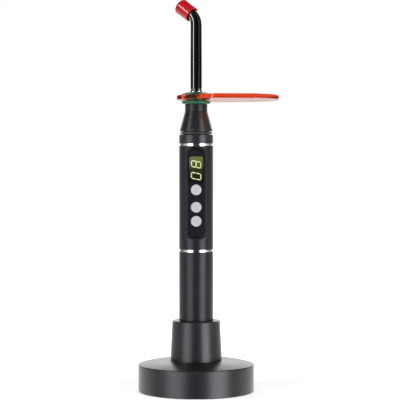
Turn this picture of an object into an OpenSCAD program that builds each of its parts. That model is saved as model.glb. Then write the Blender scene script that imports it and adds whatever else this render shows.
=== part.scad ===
// Cordless dental curing light standing in its charging socket.
// Millimetres. The origin is the centre of the foot pad's underside, +Z is up,
// the control panel faces -Y, the light guide bends to -X and backwards, and the shield reaches out to +X.

/* [Stand] */
// Diameter of the drum
stand_d = 82; // [70:1:110]
// Height of the drum's rim above the table
stand_rim_h = 19.7; // [17.5:0.1:24]
// Rise of the domed top from the rim to the socket
stand_dome_rise = 3.1; // [2.2:0.1:4.5]
// Wall of the stand shell
stand_wall = 2.5; // [2:0.1:3]
// Radius of the rim's edge
stand_edge_r = 0.8; // [0.4:0.1:1.4]
// Radius of the drum's lower edge
stand_base_r = 0.7; // [0.4:0.1:1.6]
// Thickness of the foot pad
foot_pad_t = 1.2; // [0.8:0.1:2]
// How far the foot pad stands proud of the drum
foot_proud = 0.4; // [0.3:0.1:0.8]
// Thickness of the bottom plate
bottom_plate_t = 2; // [1.6:0.1:2.6]
// Height of the ballast ring
ballast_h = 11; // [6:0.5:12]
// Space between the ballast ring and the socket's nut
ballast_bore_gap = 5; // [3:0.5:7]
// Diameter of the screw bosses in the drum
boss_d = 7; // [6:0.5:8]

/* [Socket] */
// Height of the collar above the dome
socket_h = 28.2; // [20:0.1:40]
// Wall of the collar at its top
socket_wall = 4.6; // [3.6:0.1:6]
// Radial growth of the collar from its top to its foot
socket_flare = 1.3; // [0:0.1:3]
// Radial clearance between the socket and the handle
socket_gap = 0.3; // [0.2:0.05:0.6]
// Wall of the spigot below the dome
socket_spigot_wall = 2.7; // [2:0.1:3.2]

/* [Charging contacts] */
// Height of the charger board above the bottom plate
charger_board_rise = 7.2; // [6.5:0.1:8]
// Diameter of a charging pin
pin_d = 2; // [1.6:0.1:2.4]
// Distance from the centre pin to the outer pin
pin_pitch = 6.5; // [5.5:0.1:7]
// Travel of a charging pin
pin_travel = 1; // [0.6:0.1:1.2]
// How far the charging pins stand above their carrier
pin_proud = 0.4; // [0.2:0.05:0.6]

/* [Handle] */
// Diameter of the battery cell
cell_d = 18.4; // [14:0.1:26]
// Length of the battery cell
cell_l = 65; // [48:0.5:80]
// Length of the battery spring under the cell
battery_spring_h = 6.3; // [4.9:0.1:7]
// Wall of the handle round its threaded joints
handle_wall = 1.25; // [1:0.05:2]
// Height of a trim ring
trim_h = 1.5; // [1.2:0.1:3]
// How far a trim ring lies below the handle's surface
trim_inset = 0.35; // [0.1:0.05:0.5]
// Wall of the body tube
body_wall = 2.6; // [2.4:0.1:2.8]

/* [Control panel] */
// Width of the panel beside the window
panel_side = 0.8; // [0.7:0.1:1.4]
// Corner radius of the pocket
panel_r = 3.5; // [2:0.1:5]
// Thickness of the panel
panel_t = 1.2; // [1:0.1:1.6]
// Depth of the panel's face below the pocket's long edges
panel_recess = 1.4; // [1.2:0.05:1.6]
// Distance from the pocket's top to the upper trim ring
panel_top_gap = 2.1; // [1.5:0.1:3]
// Distance from the pocket's foot to the lower trim ring
panel_foot_gap = 8.75; // [6:0.25:20]
// Greatest width of the bevel round the pocket
panel_bevel = 1.4; // [0.8:0.1:1.6]
// Width of the display window
window_w = 10.8; // [9:0.1:13]
// Length of the display window
window_h = 18.8; // [15:0.1:24]
// Corner radius of the window
window_r = 2; // [0.6:0.1:3]
// Distance from the pocket's top to the window
window_top_gap = 5; // [4.4:0.1:8]
// Diameter of a button
button_d = 7.5; // [6.5:0.1:10]
// How far a button stands proud of the panel
button_proud = 0.8; // [0.7:0.1:1.2]
// Travel of a button
button_travel = 0.6; // [0.3:0.05:0.7]
// Space between the window and the upper button
upper_button_space = 1.4; // [0.9:0.1:3]
// Space between the upper and the middle button
middle_button_space = 4.7; // [1.8:0.1:8]
// Space between the middle and the lower button
lower_button_space = 2.4; // [1.6:0.1:8]
// Space between the lower button and the pocket's foot
panel_foot_space = 7.7; // [6.5:0.1:12]

/* [Head] */
// Height of the head collar
head_collar_h = 6.4; // [5:0.1:9]
// Step in from the handle to the nose
nose_step = 0.6; // [0.2:0.1:1]
// Height of the nose's land
nose_land_h = 1.7; // [1:0.1:2.5]
// Height of the nose's taper
nose_cone_h = 12.6; // [11.5:0.1:16]
// Diameter of the nose's neck
neck_d = 15.8; // [15:0.1:18]
// Height of the nose's neck
neck_h = 5.1; // [4.5:0.1:8]
// Diameter of the seal ring's section
seal_d = 1.9; // [1.7:0.05:2]

/* [Light guide] */
// Diameter of the light guide
guide_d = 8; // [7:0.1:8.4]
// Wall of the black jacket round the clear core
guide_jacket_t = 0.5; // [0.4:0.05:1]
// Straight rise from the nose to the bend
guide_rise = 56.5; // [40:0.5:80]
// Bend of the light guide in degrees
guide_bend = 56.5; // [20:0.5:80]
// Turn of the bend from -X towards the back in degrees
guide_turn = 35; // [-180:1:180]
// Bend radius of the light guide's centre line
guide_bend_r = 7.8; // [7:0.1:20]
// Straight length of the tip past the bend
guide_tip_l = 11.3; // [8:0.1:14]
// Wall of the ferrule
ferrule_wall = 0.95; // [0.5:0.05:1]
// Height of the ferrule above the shield's ring
ferrule_proud = 2.2; // [1:0.1:4]
// Wall of the cap at its open end
cap_wall = 1.62; // [1:0.02:2.4]
// Radial growth of the cap from its open to its closed end
cap_swell = 0.25; // [0:0.05:1]
// Thickness of the cap's closed end
cap_end_t = 1.2; // [0.8:0.1:2]
// Rounding of the cap's closed end
cap_round_r = 2; // [0.5:0.1:3]

/* [Shield] */
// Thickness of the shield plate
shield_t = 3.3; // [2:0.1:4]
// Radius of the plate round its hole
shield_head_r = 13.7; // [11:0.1:16]
// Half width of the plate at its shoulders
shield_half_w = 26; // [22:0.5:32]
// Corner radius of the shoulders
shield_shoulder_r = 6; // [3:0.5:8]
// Distance from the hole to the shoulders
shield_shoulder_x = 14; // [10:0.5:20]
// Radius of the plate's far end
shield_end_r = 24.6; // [20:0.1:30]
// Reach of the plate from its hole to its far end
shield_reach = 58.6; // [50:0.1:75]
// Lean of the plate in its soft ring in degrees
shield_lean = 2.2; // [0:0.1:4]
// Diameter of the ring's lower flange
ring_lower_d = 20.2; // [17:0.1:23]
// Height of the ring's lower flange
ring_lower_h = 2.3; // [1.8:0.1:4]
// Diameter of the ring's upper flange
ring_upper_d = 19.8; // [17:0.1:22]
// Height of the ring's upper flange
ring_upper_h = 2; // [1.5:0.1:3]
// Wall of the ring's waist
ring_waist_wall = 1.57; // [1:0.01:2]

/* [Hidden] */

// Fits shared by many pieces
thread_gap = 0.05;
glue_gap = 0.05;
slip_gap = 0.3;
run_gap = 0.08;
inlay_gap = 0.05;
// How far a cutter reaches past the face it opens
past = 1;
round_fn = 96;

// Stand levels and radii
stand_r = stand_d / 2;
stand_in_r = stand_r - stand_wall;
z_skirt = foot_proud;
z_plate = foot_pad_t;
z_plate_top = z_plate + bottom_plate_t;
z_rim = stand_rim_h;
z_dome = z_rim + stand_dome_rise;
z_socket_top = z_dome + socket_h;
z_charger_board = z_plate_top + charger_board_rise;
charger_board_t = 1.6;
z_carrier = z_charger_board + charger_board_t;
carrier_h = 8;
z_tail = z_carrier + carrier_h;

// Radii of the handle, which is built round the cell
cell_r = cell_d / 2;
cell_gap = 0.4;
cell_bore_r = cell_r + cell_gap;
spigot_wall = 1.1;
spigot_r = cell_bore_r + spigot_wall;
spigot_bore_r = spigot_r + thread_gap;
handle_r = spigot_bore_r + handle_wall;

// Socket radii, which follow the handle
socket_bore_r = handle_r + socket_gap;
socket_top_r = socket_bore_r + socket_wall;
socket_foot_r = socket_top_r + socket_flare;
socket_spigot_r = socket_bore_r + socket_spigot_wall;
socket_mouth = 0.8;
socket_edge = 0.6;
socket_floor_t = 3;
socket_skirt_h = 2;
z_spigot = z_tail - socket_floor_t - socket_skirt_h;
nut_h = 4;
nut_wall = 3;
nut_slot_w = 3;
nut_slot_depth = 1.5;

// Dome of the stand: one arc, level at the socket, that meets the rim's edge smoothly
dome_reach = stand_r - socket_foot_r;
dome_r = (dome_reach * dome_reach + stand_dome_rise * stand_dome_rise) / (2 * stand_dome_rise);
dome_z = z_dome - dome_r;
edge_x = stand_r - stand_edge_r;
edge_z = dome_z + sqrt(pow(dome_r - stand_edge_r, 2) - pow(edge_x - socket_foot_r, 2));
edge_a = atan2(edge_z - dome_z, edge_x - socket_foot_r);
dome_in_r = dome_r - stand_wall;
dome_in_a = acos((stand_in_r - socket_foot_r) / dome_in_r);

// Screw bosses, bottom plate and ballast
boss_r = boss_d / 2;
boss_sink = 0.5;
boss_circle_r = stand_in_r - boss_r + boss_sink;
boss_count = 4;
boss_first_a = 45;
boss_top = z_rim - stand_wall;
screw_shank_r = 1.5;
screw_head_r = 2.8;
screw_head_h = 1.2;
screw_l = 10;
plate_r = stand_in_r - slip_gap;
pad_margin = 1.5;
pad_r = plate_r - pad_margin;
ballast_clear = 0.7;
ballast_r = boss_circle_r - boss_r - ballast_clear;
ballast_bore_r = socket_spigot_r + nut_wall + ballast_bore_gap;
jack_notch_w = 16;

// Charging contacts
pin_r = pin_d / 2;
pin_guide_h = 2.5;
pin_head_r = 1.9;
pin_head_h = 1;
pin_tail_r = 0.6;
pin_bore_r = pin_head_r + run_gap;
carrier_wall = 0.6;
carrier_r = pin_pitch + pin_head_r + carrier_wall;
carrier_flange_w = 2;
carrier_flange_r = carrier_r + carrier_flange_w;
z_carrier_flange = z_tail - socket_floor_t;
z_pin_head = z_tail - pin_guide_h - pin_head_h;
pin_tail_clear = 0.4;
pin_tail_l = z_pin_head - z_carrier - pin_travel - pin_tail_clear;
pin_spring_wire = 0.4;
pin_spring_r = (pin_tail_r + pin_bore_r) / 2;
pin_spring_turns = 4;
charger_board_r = 17;
post_r = 3;
post_circle_r = 12.5;
post_count = 3;
post_first_a = 30;

// Power inlet in the back of the drum
jack_lead_z = z_charger_board + charger_board_t / 2;
jack_drop = 1;
jack_z = jack_lead_z - jack_drop;
jack_barrel_r = 4;
jack_flange_r = 5.5;
jack_flange_t = 1.2;
jack_seat_depth = 1.6;
jack_seat_y = stand_r - jack_seat_depth;
jack_l = 11;
jack_mouth_r = 2.85;
jack_mouth_depth = 9;
jack_pin_r = 1;
jack_pin_recess = 0.2;
jack_nut_flats = 11;
jack_nut_t = 2.2;
jack_nut_y = sqrt(pow(stand_in_r, 2) - pow(jack_nut_flats / sqrt(3), 2)) - jack_nut_t;
jack_lead_r = 0.7;
jack_lead_x = 2.4;

// Battery tube and its contents
spigot_l = 8;
tail_chamfer = 0.8;
joint_chamfer = 0.15;
tail_plug_h = 4;
tail_contact_t = 1.2;
tail_pad_r = 2.5;
tail_ring_half_w = 1;
z_spring = z_tail + tail_plug_h;
cell_nub_h = 1;
cell_nub_r = 3;
cell_groove_h = 1.2;
cell_groove_depth = 0.4;
contact_t = 0.8;
contact_r = 4;
contact_disc_t = 2;
z_cell = z_spring + battery_spring_h;
z_cell_top = z_cell + cell_l;
z_contact_disc = z_cell_top + cell_nub_h + contact_t;
contact_disc_drop = 2.8;
z_handle_top = z_contact_disc + contact_disc_drop;
battery_spring_wire = 0.9;
battery_spring_r = 5;
battery_spring_turns = 3;

// Body tube, which is as long as the window and the buttons need
upper_button_gap = window_top_gap + window_h + upper_button_space + button_d / 2;
middle_button_pitch = button_d + middle_button_space;
lower_button_pitch = button_d + lower_button_space;
panel_h = upper_button_gap + middle_button_pitch + lower_button_pitch + button_d / 2 + panel_foot_space;
z_body = z_handle_top + trim_h;
z_body_top = z_body + panel_foot_gap + panel_h + panel_top_gap;
body_bore_r = handle_r - body_wall;
body_bore_foot = 2.2;
body_bore_head = 1.6;
trim_r = handle_r - trim_inset;

// Head
z_collar = z_body_top + trim_h;
z_collar_top = z_collar + head_collar_h;
seal_seat = 2.2;
z_nose = z_collar_top + seal_seat;
z_cone = z_nose + nose_land_h;
z_neck = z_cone + nose_cone_h;
z_nose_top = z_neck + neck_h;
nose_r = handle_r - nose_step;
neck_r = neck_d / 2;
neck_edge = 0.4;
collar_edge = 0.4;
seal_r = seal_d / 2;
seal_inner_gap = 0.1;
nose_thread_step = 1.4;
nose_thread_r = spigot_r - nose_thread_step;
seal_mid_r = nose_thread_r + seal_inner_gap + seal_r;
nose_thread_l = 4.6;
nose_thread_wall = 0.9;
head_bore_r = nose_thread_r - nose_thread_wall;
z_thread_top = z_nose + nose_thread_l;
lamp_room_step = 0.4;
lamp_room_r = head_bore_r - lamp_room_step;
lamp_room_h = 4.8;
thread_end_gap = 0.2;
z_lamp_room = z_thread_top + thread_end_gap;
z_lamp_room_top = z_lamp_room + lamp_room_h;
guide_r = guide_d / 2;
ferrule_r = guide_r + glue_gap + ferrule_wall;
guide_bore_r = ferrule_r + thread_gap;
o_ring_section_r = 0.65;
o_ring_mid_r = ferrule_r + run_gap + o_ring_section_r;
o_ring_groove_h = 1.6;
o_ring_drop = 3.2;
o_ring_z = z_nose_top - o_ring_drop;

// Lamp
sink_h = 10;
sink_groove = 0.8;
sink_groove_count = 3;
led_board_drop = 1;
z_led_board = z_thread_top - led_board_drop;
z_sink = z_led_board - sink_h;
led_board_gap = 0.5;
led_board_r = head_bore_r - led_board_gap;
led_board_t = 1.6;
z_led = z_led_board + led_board_t;
led_w = 5;
led_t = 0.8;
led_dome_r = 1.8;
reflector_gap = 0.2;
reflector_r = lamp_room_r - reflector_gap;
reflector_top_r = 4.3;
reflector_foot_r = 3.7;
lead_r = 0.6;
lead_hole_r = 0.8;
lead_x = 4;

// Control panel, measured as distances in front of the axis
panel_w = window_w + 2 * panel_side;
panel_edge_y = sqrt(handle_r * handle_r - panel_w * panel_w / 4);
panel_face_y = panel_edge_y - panel_recess;
panel_back_y = panel_face_y - panel_t;
panel_top_z = z_body_top - panel_top_gap;
panel_z = panel_top_z - panel_h / 2;
panel_gap = 0.1;
window_t = 1;
window_lip = 0.4;
window_z = panel_top_z - window_top_gap - window_h / 2;
post_x = 3.2;
panel_post_r = 1.6;
panel_post_space = 0.6;
panel_post_inset = window_top_gap - panel_post_r - panel_post_space;
panel_post_zs = [panel_z - panel_h / 2 + panel_post_inset, panel_top_z - panel_post_inset];
board_gap = 4;
board_front_y = panel_back_y - board_gap;
board_t = 1.2;
board_back_y = board_front_y - board_t;
board_margin = 0.5;
board_side_gap = 0.8;
board_w = 2 * (sqrt(body_bore_r * body_bore_r - board_front_y * board_front_y) - board_side_gap);
board_h = panel_h - 2 * board_margin;
board_screw_r = 0.75;
board_screw_head_r = 1.3;
board_screw_head_t = 1;
board_screw_l = 4.2;
display_depth = 3.3;
display_trim = 0.2;
display_w = window_w - 2 * display_trim;
digit_t = 0.15;
digit_rise = 7.3;
digit_run = 4.95;
digit_stroke = 0.75;
digit_slant = 11;
digit_pitch = 8.3;
digit_drop = 0.7;
digit_gap = 0.1;

// Buttons and their switches
button_r = button_d / 2;
button_gap = 0.1;
button_flange_w = 0.7;
button_flange_r = button_r + button_flange_w;
button_flange_t = 0.7;
button_edge = 0.5;
button_rim = 1.1;
button_dish_r = button_r - button_rim;
button_dish = 0.2;
button_stem_r = 1.3;
button_stem_l = 1.7;
switch_w = 6;
switch_clear = 0.5;
switch_t = board_gap - button_flange_t - button_travel - switch_clear;
switch_hole_gap = 0.2;
switch_hole_r = button_stem_r + switch_hole_gap;
switch_hole_depth = button_stem_l - switch_clear + slip_gap;
upper_button_z = panel_top_z - upper_button_gap;
middle_button_z = upper_button_z - middle_button_pitch;
lower_button_z = middle_button_z - lower_button_pitch;
button_zs = [upper_button_z, middle_button_z, lower_button_z];

// Light guide and shield
core_r = guide_r - guide_jacket_t - glue_gap;
z_guide = z_lamp_room_top + slip_gap;
z_bend = z_nose_top + guide_rise;
z_ring_groove = z_nose_top + ring_lower_h;
ring_slack = 0.05;
ring_tilt = max(ring_lower_d, ring_upper_d) * tan(shield_lean);
ring_groove_h = shield_t / cos(shield_lean) + ring_tilt + ring_slack;
z_ring_upper = z_ring_groove + ring_groove_h;
z_ring_top = z_ring_upper + ring_upper_h;
z_ferrule_top = z_ring_top + ferrule_proud;
ferrule_cone_share = 0.9;
ferrule_lip = 0.1;
tip_relief = 0.1;
tip_root = 0.5;
tip_r = guide_r - tip_relief;
cap_bore_r = tip_r + run_gap;
cap_mouth_r = cap_bore_r + cap_wall;
cap_r = cap_mouth_r + cap_swell;
cap_start = 0.15;
cap_end_gap = 0.1;
cap_bore_l = guide_tip_l - cap_start + cap_end_gap;
cap_l = cap_bore_l + cap_end_t;
cap_lip = 0.4;
cap_flare = 0.9;
cap_flare_h = 1.6;
ring_round = 0.8;
ring_rim_round = 0.45;
ring_hub_w = 0.8;
ring_bore_r = ferrule_r + run_gap;
ring_waist_r = ring_bore_r + ring_waist_wall;
shield_hole_r = ring_waist_r + slip_gap;
shield_edge = 0.4;
shield_z = z_ring_groove + ring_groove_h / 2;

// Points along an arc, from the first angle to the last, without its first point when skip is 1
function arc(cx, cy, r, a0, a1, steps, skip = 0) =
    [for (i = [skip : steps])
        let (a = a0 + (a1 - a0) * i / steps)
        [cx + r * cos(a), cy + r * sin(a)]];

function round_rect(w, h, r, steps = 8) =
    let (x = w / 2 - r, y = h / 2 - r)
    concat(
        arc(x, y, r, 0, 90, steps),
        arc(-x, y, r, 90, 180, steps),
        arc(-x, -y, r, 180, 270, steps),
        arc(x, -y, r, 270, 360, steps)
    );

// Solid turned about the Z axis from points of radius and height
module turned(points) {
    rotate_extrude($fn = round_fn)
        polygon(points);
}

module post(r, h) {
    cylinder(r = r, h = h, $fn = round_fn);
}

module tube(r_out, r_in, h) {
    difference() {
        post(r_out, h);
        translate([0, 0, -past])
            post(r_in, h + 2 * past);
    }
}

// Round bar that points forward, from one distance in front of the axis to another
module forward_post(x, z, r, y_back, y_front) {
    translate([x, -y_back, z])
        rotate([90, 0, 0])
            post(r, y_front - y_back);
}

// Slab with round corners that faces forward, from one distance in front of the axis to another
module forward_slab(w, h, r, z, y_back, y_front) {
    translate([0, -y_back, z])
        rotate([90, 0, 0])
            linear_extrude(y_front - y_back)
                polygon(round_rect(w, h, r));
}

// Box on the front or the back of the control board
module board_box(w, h, t, x, z, y_back) {
    translate([x - w / 2, -y_back - t, z - h / 2])
        cube([w, t, h]);
}

// Coil spring: one unbroken wire along a helix, with rings of six points
coil_sides = 6;
coil_rings = 8;

function coil_centre(r, wire, h, turns, k) =
    let (n = turns * coil_rings, a = 360 * k / coil_rings)
    [r * cos(a), r * sin(a), wire / 2 + (h - wire) * k / n];

function coil_points(r, wire, h, turns) =
    [for (k = [0 : turns * coil_rings])
        let (a = 360 * k / coil_rings, c = coil_centre(r, wire, h, turns, k))
        for (s = [0 : coil_sides - 1])
            let (t = 360 * s / coil_sides)
            c + wire / 2 * [cos(t) * cos(a), cos(t) * sin(a), sin(t)]];

function coil_faces(turns) =
    let (n = turns * coil_rings, m = coil_sides)
    concat(
        [for (k = [0 : n - 1])
            for (s = [0 : m - 1])
                for (half = [0, 1])
                    let (a = k * m + s, b = k * m + (s + 1) % m)
                    half == 0 ? [a, a + m, b] : [b, a + m, b + m]],
        [for (s = [1 : m - 2]) [0, s, s + 1]],
        [for (s = [1 : m - 2]) [n * m, n * m + s + 1, n * m + s]]
    );

// Least gap of the wire to itself, between points at least three quarters of a turn apart
function coil_gap(r, wire, h, turns) =
    let (n = turns * coil_rings, apart = 0.75 * coil_rings)
    min([for (k = [0 : n - apart])
        for (j = [k + apart : n])
            norm(coil_centre(r, wire, h, turns, j) - coil_centre(r, wire, h, turns, k))]) - wire;

module coil_spring(r, wire, h, turns) {
    echo("least gap of the coil", coil_gap(r, wire, h, turns));
    polyhedron(points = coil_points(r, wire, h, turns), faces = coil_faces(turns));
}

// Drum of the stand with its domed top, screw bosses and the hole for the inlet
module stand_shell() {
    color("#2b2c2f")
    difference() {
        union() {
            turned(concat(
                arc(socket_foot_r, dome_z, dome_in_r, dome_in_a, 90, 10),
                [[socket_spigot_r + slip_gap, z_dome - stand_wall], [socket_spigot_r + slip_gap, z_dome]],
                arc(socket_foot_r, dome_z, dome_r, 90, edge_a, 12),
                arc(edge_x, edge_z, stand_edge_r, edge_a, 0, 5, 1),
                arc(stand_r - stand_base_r, z_skirt + stand_base_r, stand_base_r, 0, -90, 5),
                [[stand_in_r, z_skirt]]
            ));
            for (i = [0 : boss_count - 1])
                rotate(boss_first_a + 360 * i / boss_count)
                    translate([boss_circle_r, 0, z_plate_top])
                        post(boss_r, boss_top - z_plate_top);
        }
        for (i = [0 : boss_count - 1])
            rotate(boss_first_a + 360 * i / boss_count)
                translate([boss_circle_r, 0, z_plate_top - past])
                    post(screw_shank_r + thread_gap, screw_l - bottom_plate_t + past + slip_gap);
        forward_post(0, jack_z, jack_barrel_r + slip_gap, -stand_r - past, -stand_in_r + 2 * stand_wall);
        forward_post(0, jack_z, jack_flange_r + slip_gap, -stand_r - past, -jack_seat_y);
    }
}

module socket_collar() {
    color("#26272a")
    turned([
        [carrier_flange_r + slip_gap, z_spigot],
        [carrier_flange_r + slip_gap, z_carrier_flange],
        [carrier_r + glue_gap, z_carrier_flange],
        [carrier_r + glue_gap, z_tail],
        [socket_bore_r, z_tail],
        [socket_bore_r, z_socket_top - socket_mouth],
        [socket_bore_r + socket_mouth, z_socket_top],
        [socket_top_r - socket_edge, z_socket_top],
        [socket_top_r, z_socket_top - socket_edge],
        [socket_foot_r, z_dome],
        [socket_spigot_r, z_dome],
        [socket_spigot_r, z_spigot]
    ]);
}

// Ring nut with four spanner slots, clamped under the dome
module socket_nut() {
    color("#8d9094")
    translate([0, 0, z_dome - stand_wall - nut_h])
        difference() {
            tube(socket_spigot_r + nut_wall, socket_spigot_r + thread_gap, nut_h);
            for (a = [0 : 90 : 270])
                rotate(a)
                    translate([socket_spigot_r + nut_wall - nut_slot_depth, -nut_slot_w / 2, -past])
                        cube([nut_wall, nut_slot_w, nut_h + 2 * past]);
        }
}

module contact_carrier() {
    color("#e8e6df")
    difference() {
        turned([
            [0, z_carrier],
            [carrier_flange_r, z_carrier],
            [carrier_flange_r, z_carrier_flange],
            [carrier_r, z_carrier_flange],
            [carrier_r, z_tail - pin_proud],
            [0, z_tail - pin_proud]
        ]);
        for (x = [0, pin_pitch])
            translate([x, 0, z_carrier - past]) {
                post(pin_r + run_gap, carrier_h + 2 * past);
                post(pin_bore_r, carrier_h - pin_guide_h + past);
            }
    }
}

// Charging pin: shaft, stop collar and the tail that centres its spring
module charge_pin() {
    color("#d8b45a")
    turned([
        [0, z_pin_head - pin_tail_l],
        [pin_tail_r, z_pin_head - pin_tail_l],
        [pin_tail_r, z_pin_head],
        [pin_head_r, z_pin_head],
        [pin_head_r, z_pin_head + pin_head_h],
        [pin_r, z_pin_head + pin_head_h],
        [pin_r, z_tail],
        [0, z_tail]
    ]);
}

module charge_pin_centre() {
    charge_pin();
}

module charge_pin_outer() {
    translate([pin_pitch, 0, 0])
        charge_pin();
}

module pin_spring() {
    color("#b9bcc0")
    translate([0, 0, z_carrier])
        coil_spring(pin_spring_r, pin_spring_wire, z_pin_head - z_carrier, pin_spring_turns);
}

module pin_spring_centre() {
    pin_spring();
}

module pin_spring_outer() {
    translate([pin_pitch, 0, 0])
        pin_spring();
}

module charger_board() {
    color("#1f5a3a")
    translate([0, 0, z_charger_board])
        post(charger_board_r, charger_board_t);
}

// Power inlet: a barrel with a flange outside the drum and a centre pin
module dc_jack() {
    color("#17181a") {
        difference() {
            union() {
                forward_post(0, jack_z, jack_flange_r, -jack_seat_y - jack_flange_t, -jack_seat_y);
                forward_post(0, jack_z, jack_barrel_r, -jack_seat_y, -jack_seat_y + jack_l);
            }
            forward_post(0, jack_z, jack_mouth_r,
                -jack_seat_y - jack_flange_t - past, -jack_seat_y - jack_flange_t + jack_mouth_depth);
        }
        forward_post(0, jack_z, jack_pin_r,
            -jack_seat_y - jack_pin_recess, -jack_seat_y - jack_flange_t + jack_mouth_depth + past);
    }
}

module jack_nut() {
    color("#b9bcc0")
    difference() {
        translate([0, jack_nut_y + jack_nut_t, jack_z])
            rotate([90, 0, 0])
                cylinder(d = jack_nut_flats * 2 / sqrt(3), h = jack_nut_t, $fn = 6);
        forward_post(0, jack_z, jack_barrel_r + thread_gap, -stand_r, 0);
    }
}

module jack_leads() {
    lead_end_y = sqrt(pow(charger_board_r, 2) - pow(jack_lead_x - jack_lead_r, 2));
    color("#b3261e")
    for (side = [-1, 1])
        forward_post(side * jack_lead_x, jack_lead_z, jack_lead_r, -jack_seat_y + jack_l, -lead_end_y);
}

// Steel weight with a notch that leaves room for the inlet
module ballast_ring() {
    color("#5c5f63")
    translate([0, 0, z_plate_top])
        difference() {
            tube(ballast_r, ballast_bore_r, ballast_h);
            translate([-jack_notch_w / 2, 0, -past])
                cube([jack_notch_w, stand_r, ballast_h + 2 * past]);
        }
}

module bottom_plate() {
    color("#303134")
    difference() {
        union() {
            translate([0, 0, z_plate])
                post(plate_r, bottom_plate_t);
            for (i = [0 : post_count - 1])
                rotate(post_first_a + 360 * i / post_count)
                    translate([post_circle_r, 0, z_plate_top - past])
                        post(post_r, z_charger_board - z_plate_top + past);
        }
        for (i = [0 : boss_count - 1])
            rotate(boss_first_a + 360 * i / boss_count)
                translate([boss_circle_r, 0, z_plate - past]) {
                    post(screw_shank_r + slip_gap, bottom_plate_t + 2 * past);
                    post(screw_head_r + slip_gap, screw_head_h + past);
                }
    }
}

module bottom_screws() {
    color("#b9bcc0")
    for (i = [0 : boss_count - 1])
        rotate(boss_first_a + 360 * i / boss_count)
            translate([boss_circle_r, 0, z_plate]) {
                post(screw_head_r, screw_head_h);
                post(screw_shank_r, screw_l);
            }
}

module foot_pad() {
    color("#1c1c1d")
    post(pad_r, foot_pad_t);
}

module battery_tube() {
    color("#2f3033")
    turned([
        [cell_bore_r, z_tail],
        [handle_r - tail_chamfer, z_tail],
        [handle_r, z_tail + tail_chamfer],
        [handle_r, z_handle_top - joint_chamfer],
        [handle_r - joint_chamfer, z_handle_top],
        [spigot_bore_r, z_handle_top],
        [spigot_bore_r, z_handle_top - spigot_l - slip_gap],
        [cell_bore_r, z_handle_top - spigot_l - slip_gap]
    ]);
}

// Insulating plug with seats for the two charging contacts
module tail_plug() {
    color("#e8e6df")
    difference() {
        translate([0, 0, z_tail])
            post(cell_bore_r - glue_gap, tail_plug_h);
        translate([0, 0, z_tail - past]) {
            post(tail_pad_r + glue_gap, tail_contact_t + past);
            tube(pin_pitch + tail_ring_half_w + glue_gap, pin_pitch - tail_ring_half_w - glue_gap,
                tail_contact_t + past);
        }
    }
}

module tail_contact_pad() {
    color("#d8b45a")
    translate([0, 0, z_tail])
        post(tail_pad_r, tail_contact_t);
}

module tail_contact_ring() {
    color("#d8b45a")
    translate([0, 0, z_tail])
        tube(pin_pitch + tail_ring_half_w, pin_pitch - tail_ring_half_w, tail_contact_t);
}

module battery_spring() {
    color("#b9bcc0")
    translate([0, 0, z_spring])
        coil_spring(battery_spring_r, battery_spring_wire, z_cell - z_spring, battery_spring_turns);
}

// Round cell with the crimp groove and the raised positive end
module battery_cell() {
    color("#3f6fae")
    turned([
        [0, z_cell],
        [cell_r, z_cell],
        [cell_r, z_cell_top - 3 * cell_groove_h],
        [cell_r - cell_groove_depth, z_cell_top - 2.5 * cell_groove_h],
        [cell_r, z_cell_top - 2 * cell_groove_h],
        [cell_r, z_cell_top],
        [cell_nub_r, z_cell_top],
        [cell_nub_r, z_cell_top + cell_nub_h],
        [0, z_cell_top + cell_nub_h]
    ]);
}

module positive_contact() {
    color("#d8b45a")
    translate([0, 0, z_contact_disc - contact_t])
        post(contact_r, contact_t);
}

module contact_disc() {
    color("#e8e6df")
    translate([0, 0, z_contact_disc])
        post(cell_bore_r - glue_gap, contact_disc_t);
}

module trim_ring(z) {
    color("#d9dbde")
    translate([0, 0, z])
        tube(trim_r, spigot_bore_r, trim_h);
}

module lower_trim_ring() {
    trim_ring(z_handle_top);
}

module upper_trim_ring() {
    trim_ring(z_body_top);
}

// Upper handle: spigots at both ends and the milled, bevelled pocket for the control panel
module body_tube() {
    bevel_top_y = handle_r + past;
    bevel_grow = 2 * (bevel_top_y - panel_face_y);
    color("#2f3033")
    difference() {
        turned([
            [cell_bore_r, z_handle_top - spigot_l],
            [spigot_r, z_handle_top - spigot_l],
            [spigot_r, z_body],
            [handle_r - joint_chamfer, z_body],
            [handle_r, z_body + joint_chamfer],
            [handle_r, z_body_top - joint_chamfer],
            [handle_r - joint_chamfer, z_body_top],
            [spigot_r, z_body_top],
            [spigot_r, z_collar_top - collar_edge],
            [nose_thread_r, z_collar_top - collar_edge],
            [nose_thread_r, z_thread_top],
            [head_bore_r, z_thread_top],
            [head_bore_r, z_body_top - body_bore_head],
            [body_bore_r, z_body_top - body_bore_head],
            [body_bore_r, z_body + body_bore_foot],
            [cell_bore_r, z_body + body_bore_foot]
        ]);
        forward_slab(panel_w, panel_h, panel_r, panel_z, panel_back_y, handle_r + past);
        intersection() {
            forward_slab(panel_w + 2 * panel_bevel, panel_h + 2 * panel_bevel, panel_r + panel_bevel,
                panel_z, panel_face_y, bevel_top_y);
            hull() {
                forward_slab(panel_w, panel_h, panel_r, panel_z, panel_face_y - past / 10, panel_face_y);
                forward_slab(panel_w + bevel_grow, panel_h + bevel_grow, panel_r + bevel_grow / 2,
                    panel_z, bevel_top_y, bevel_top_y + past / 10);
            }
        }
    }
}

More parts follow.
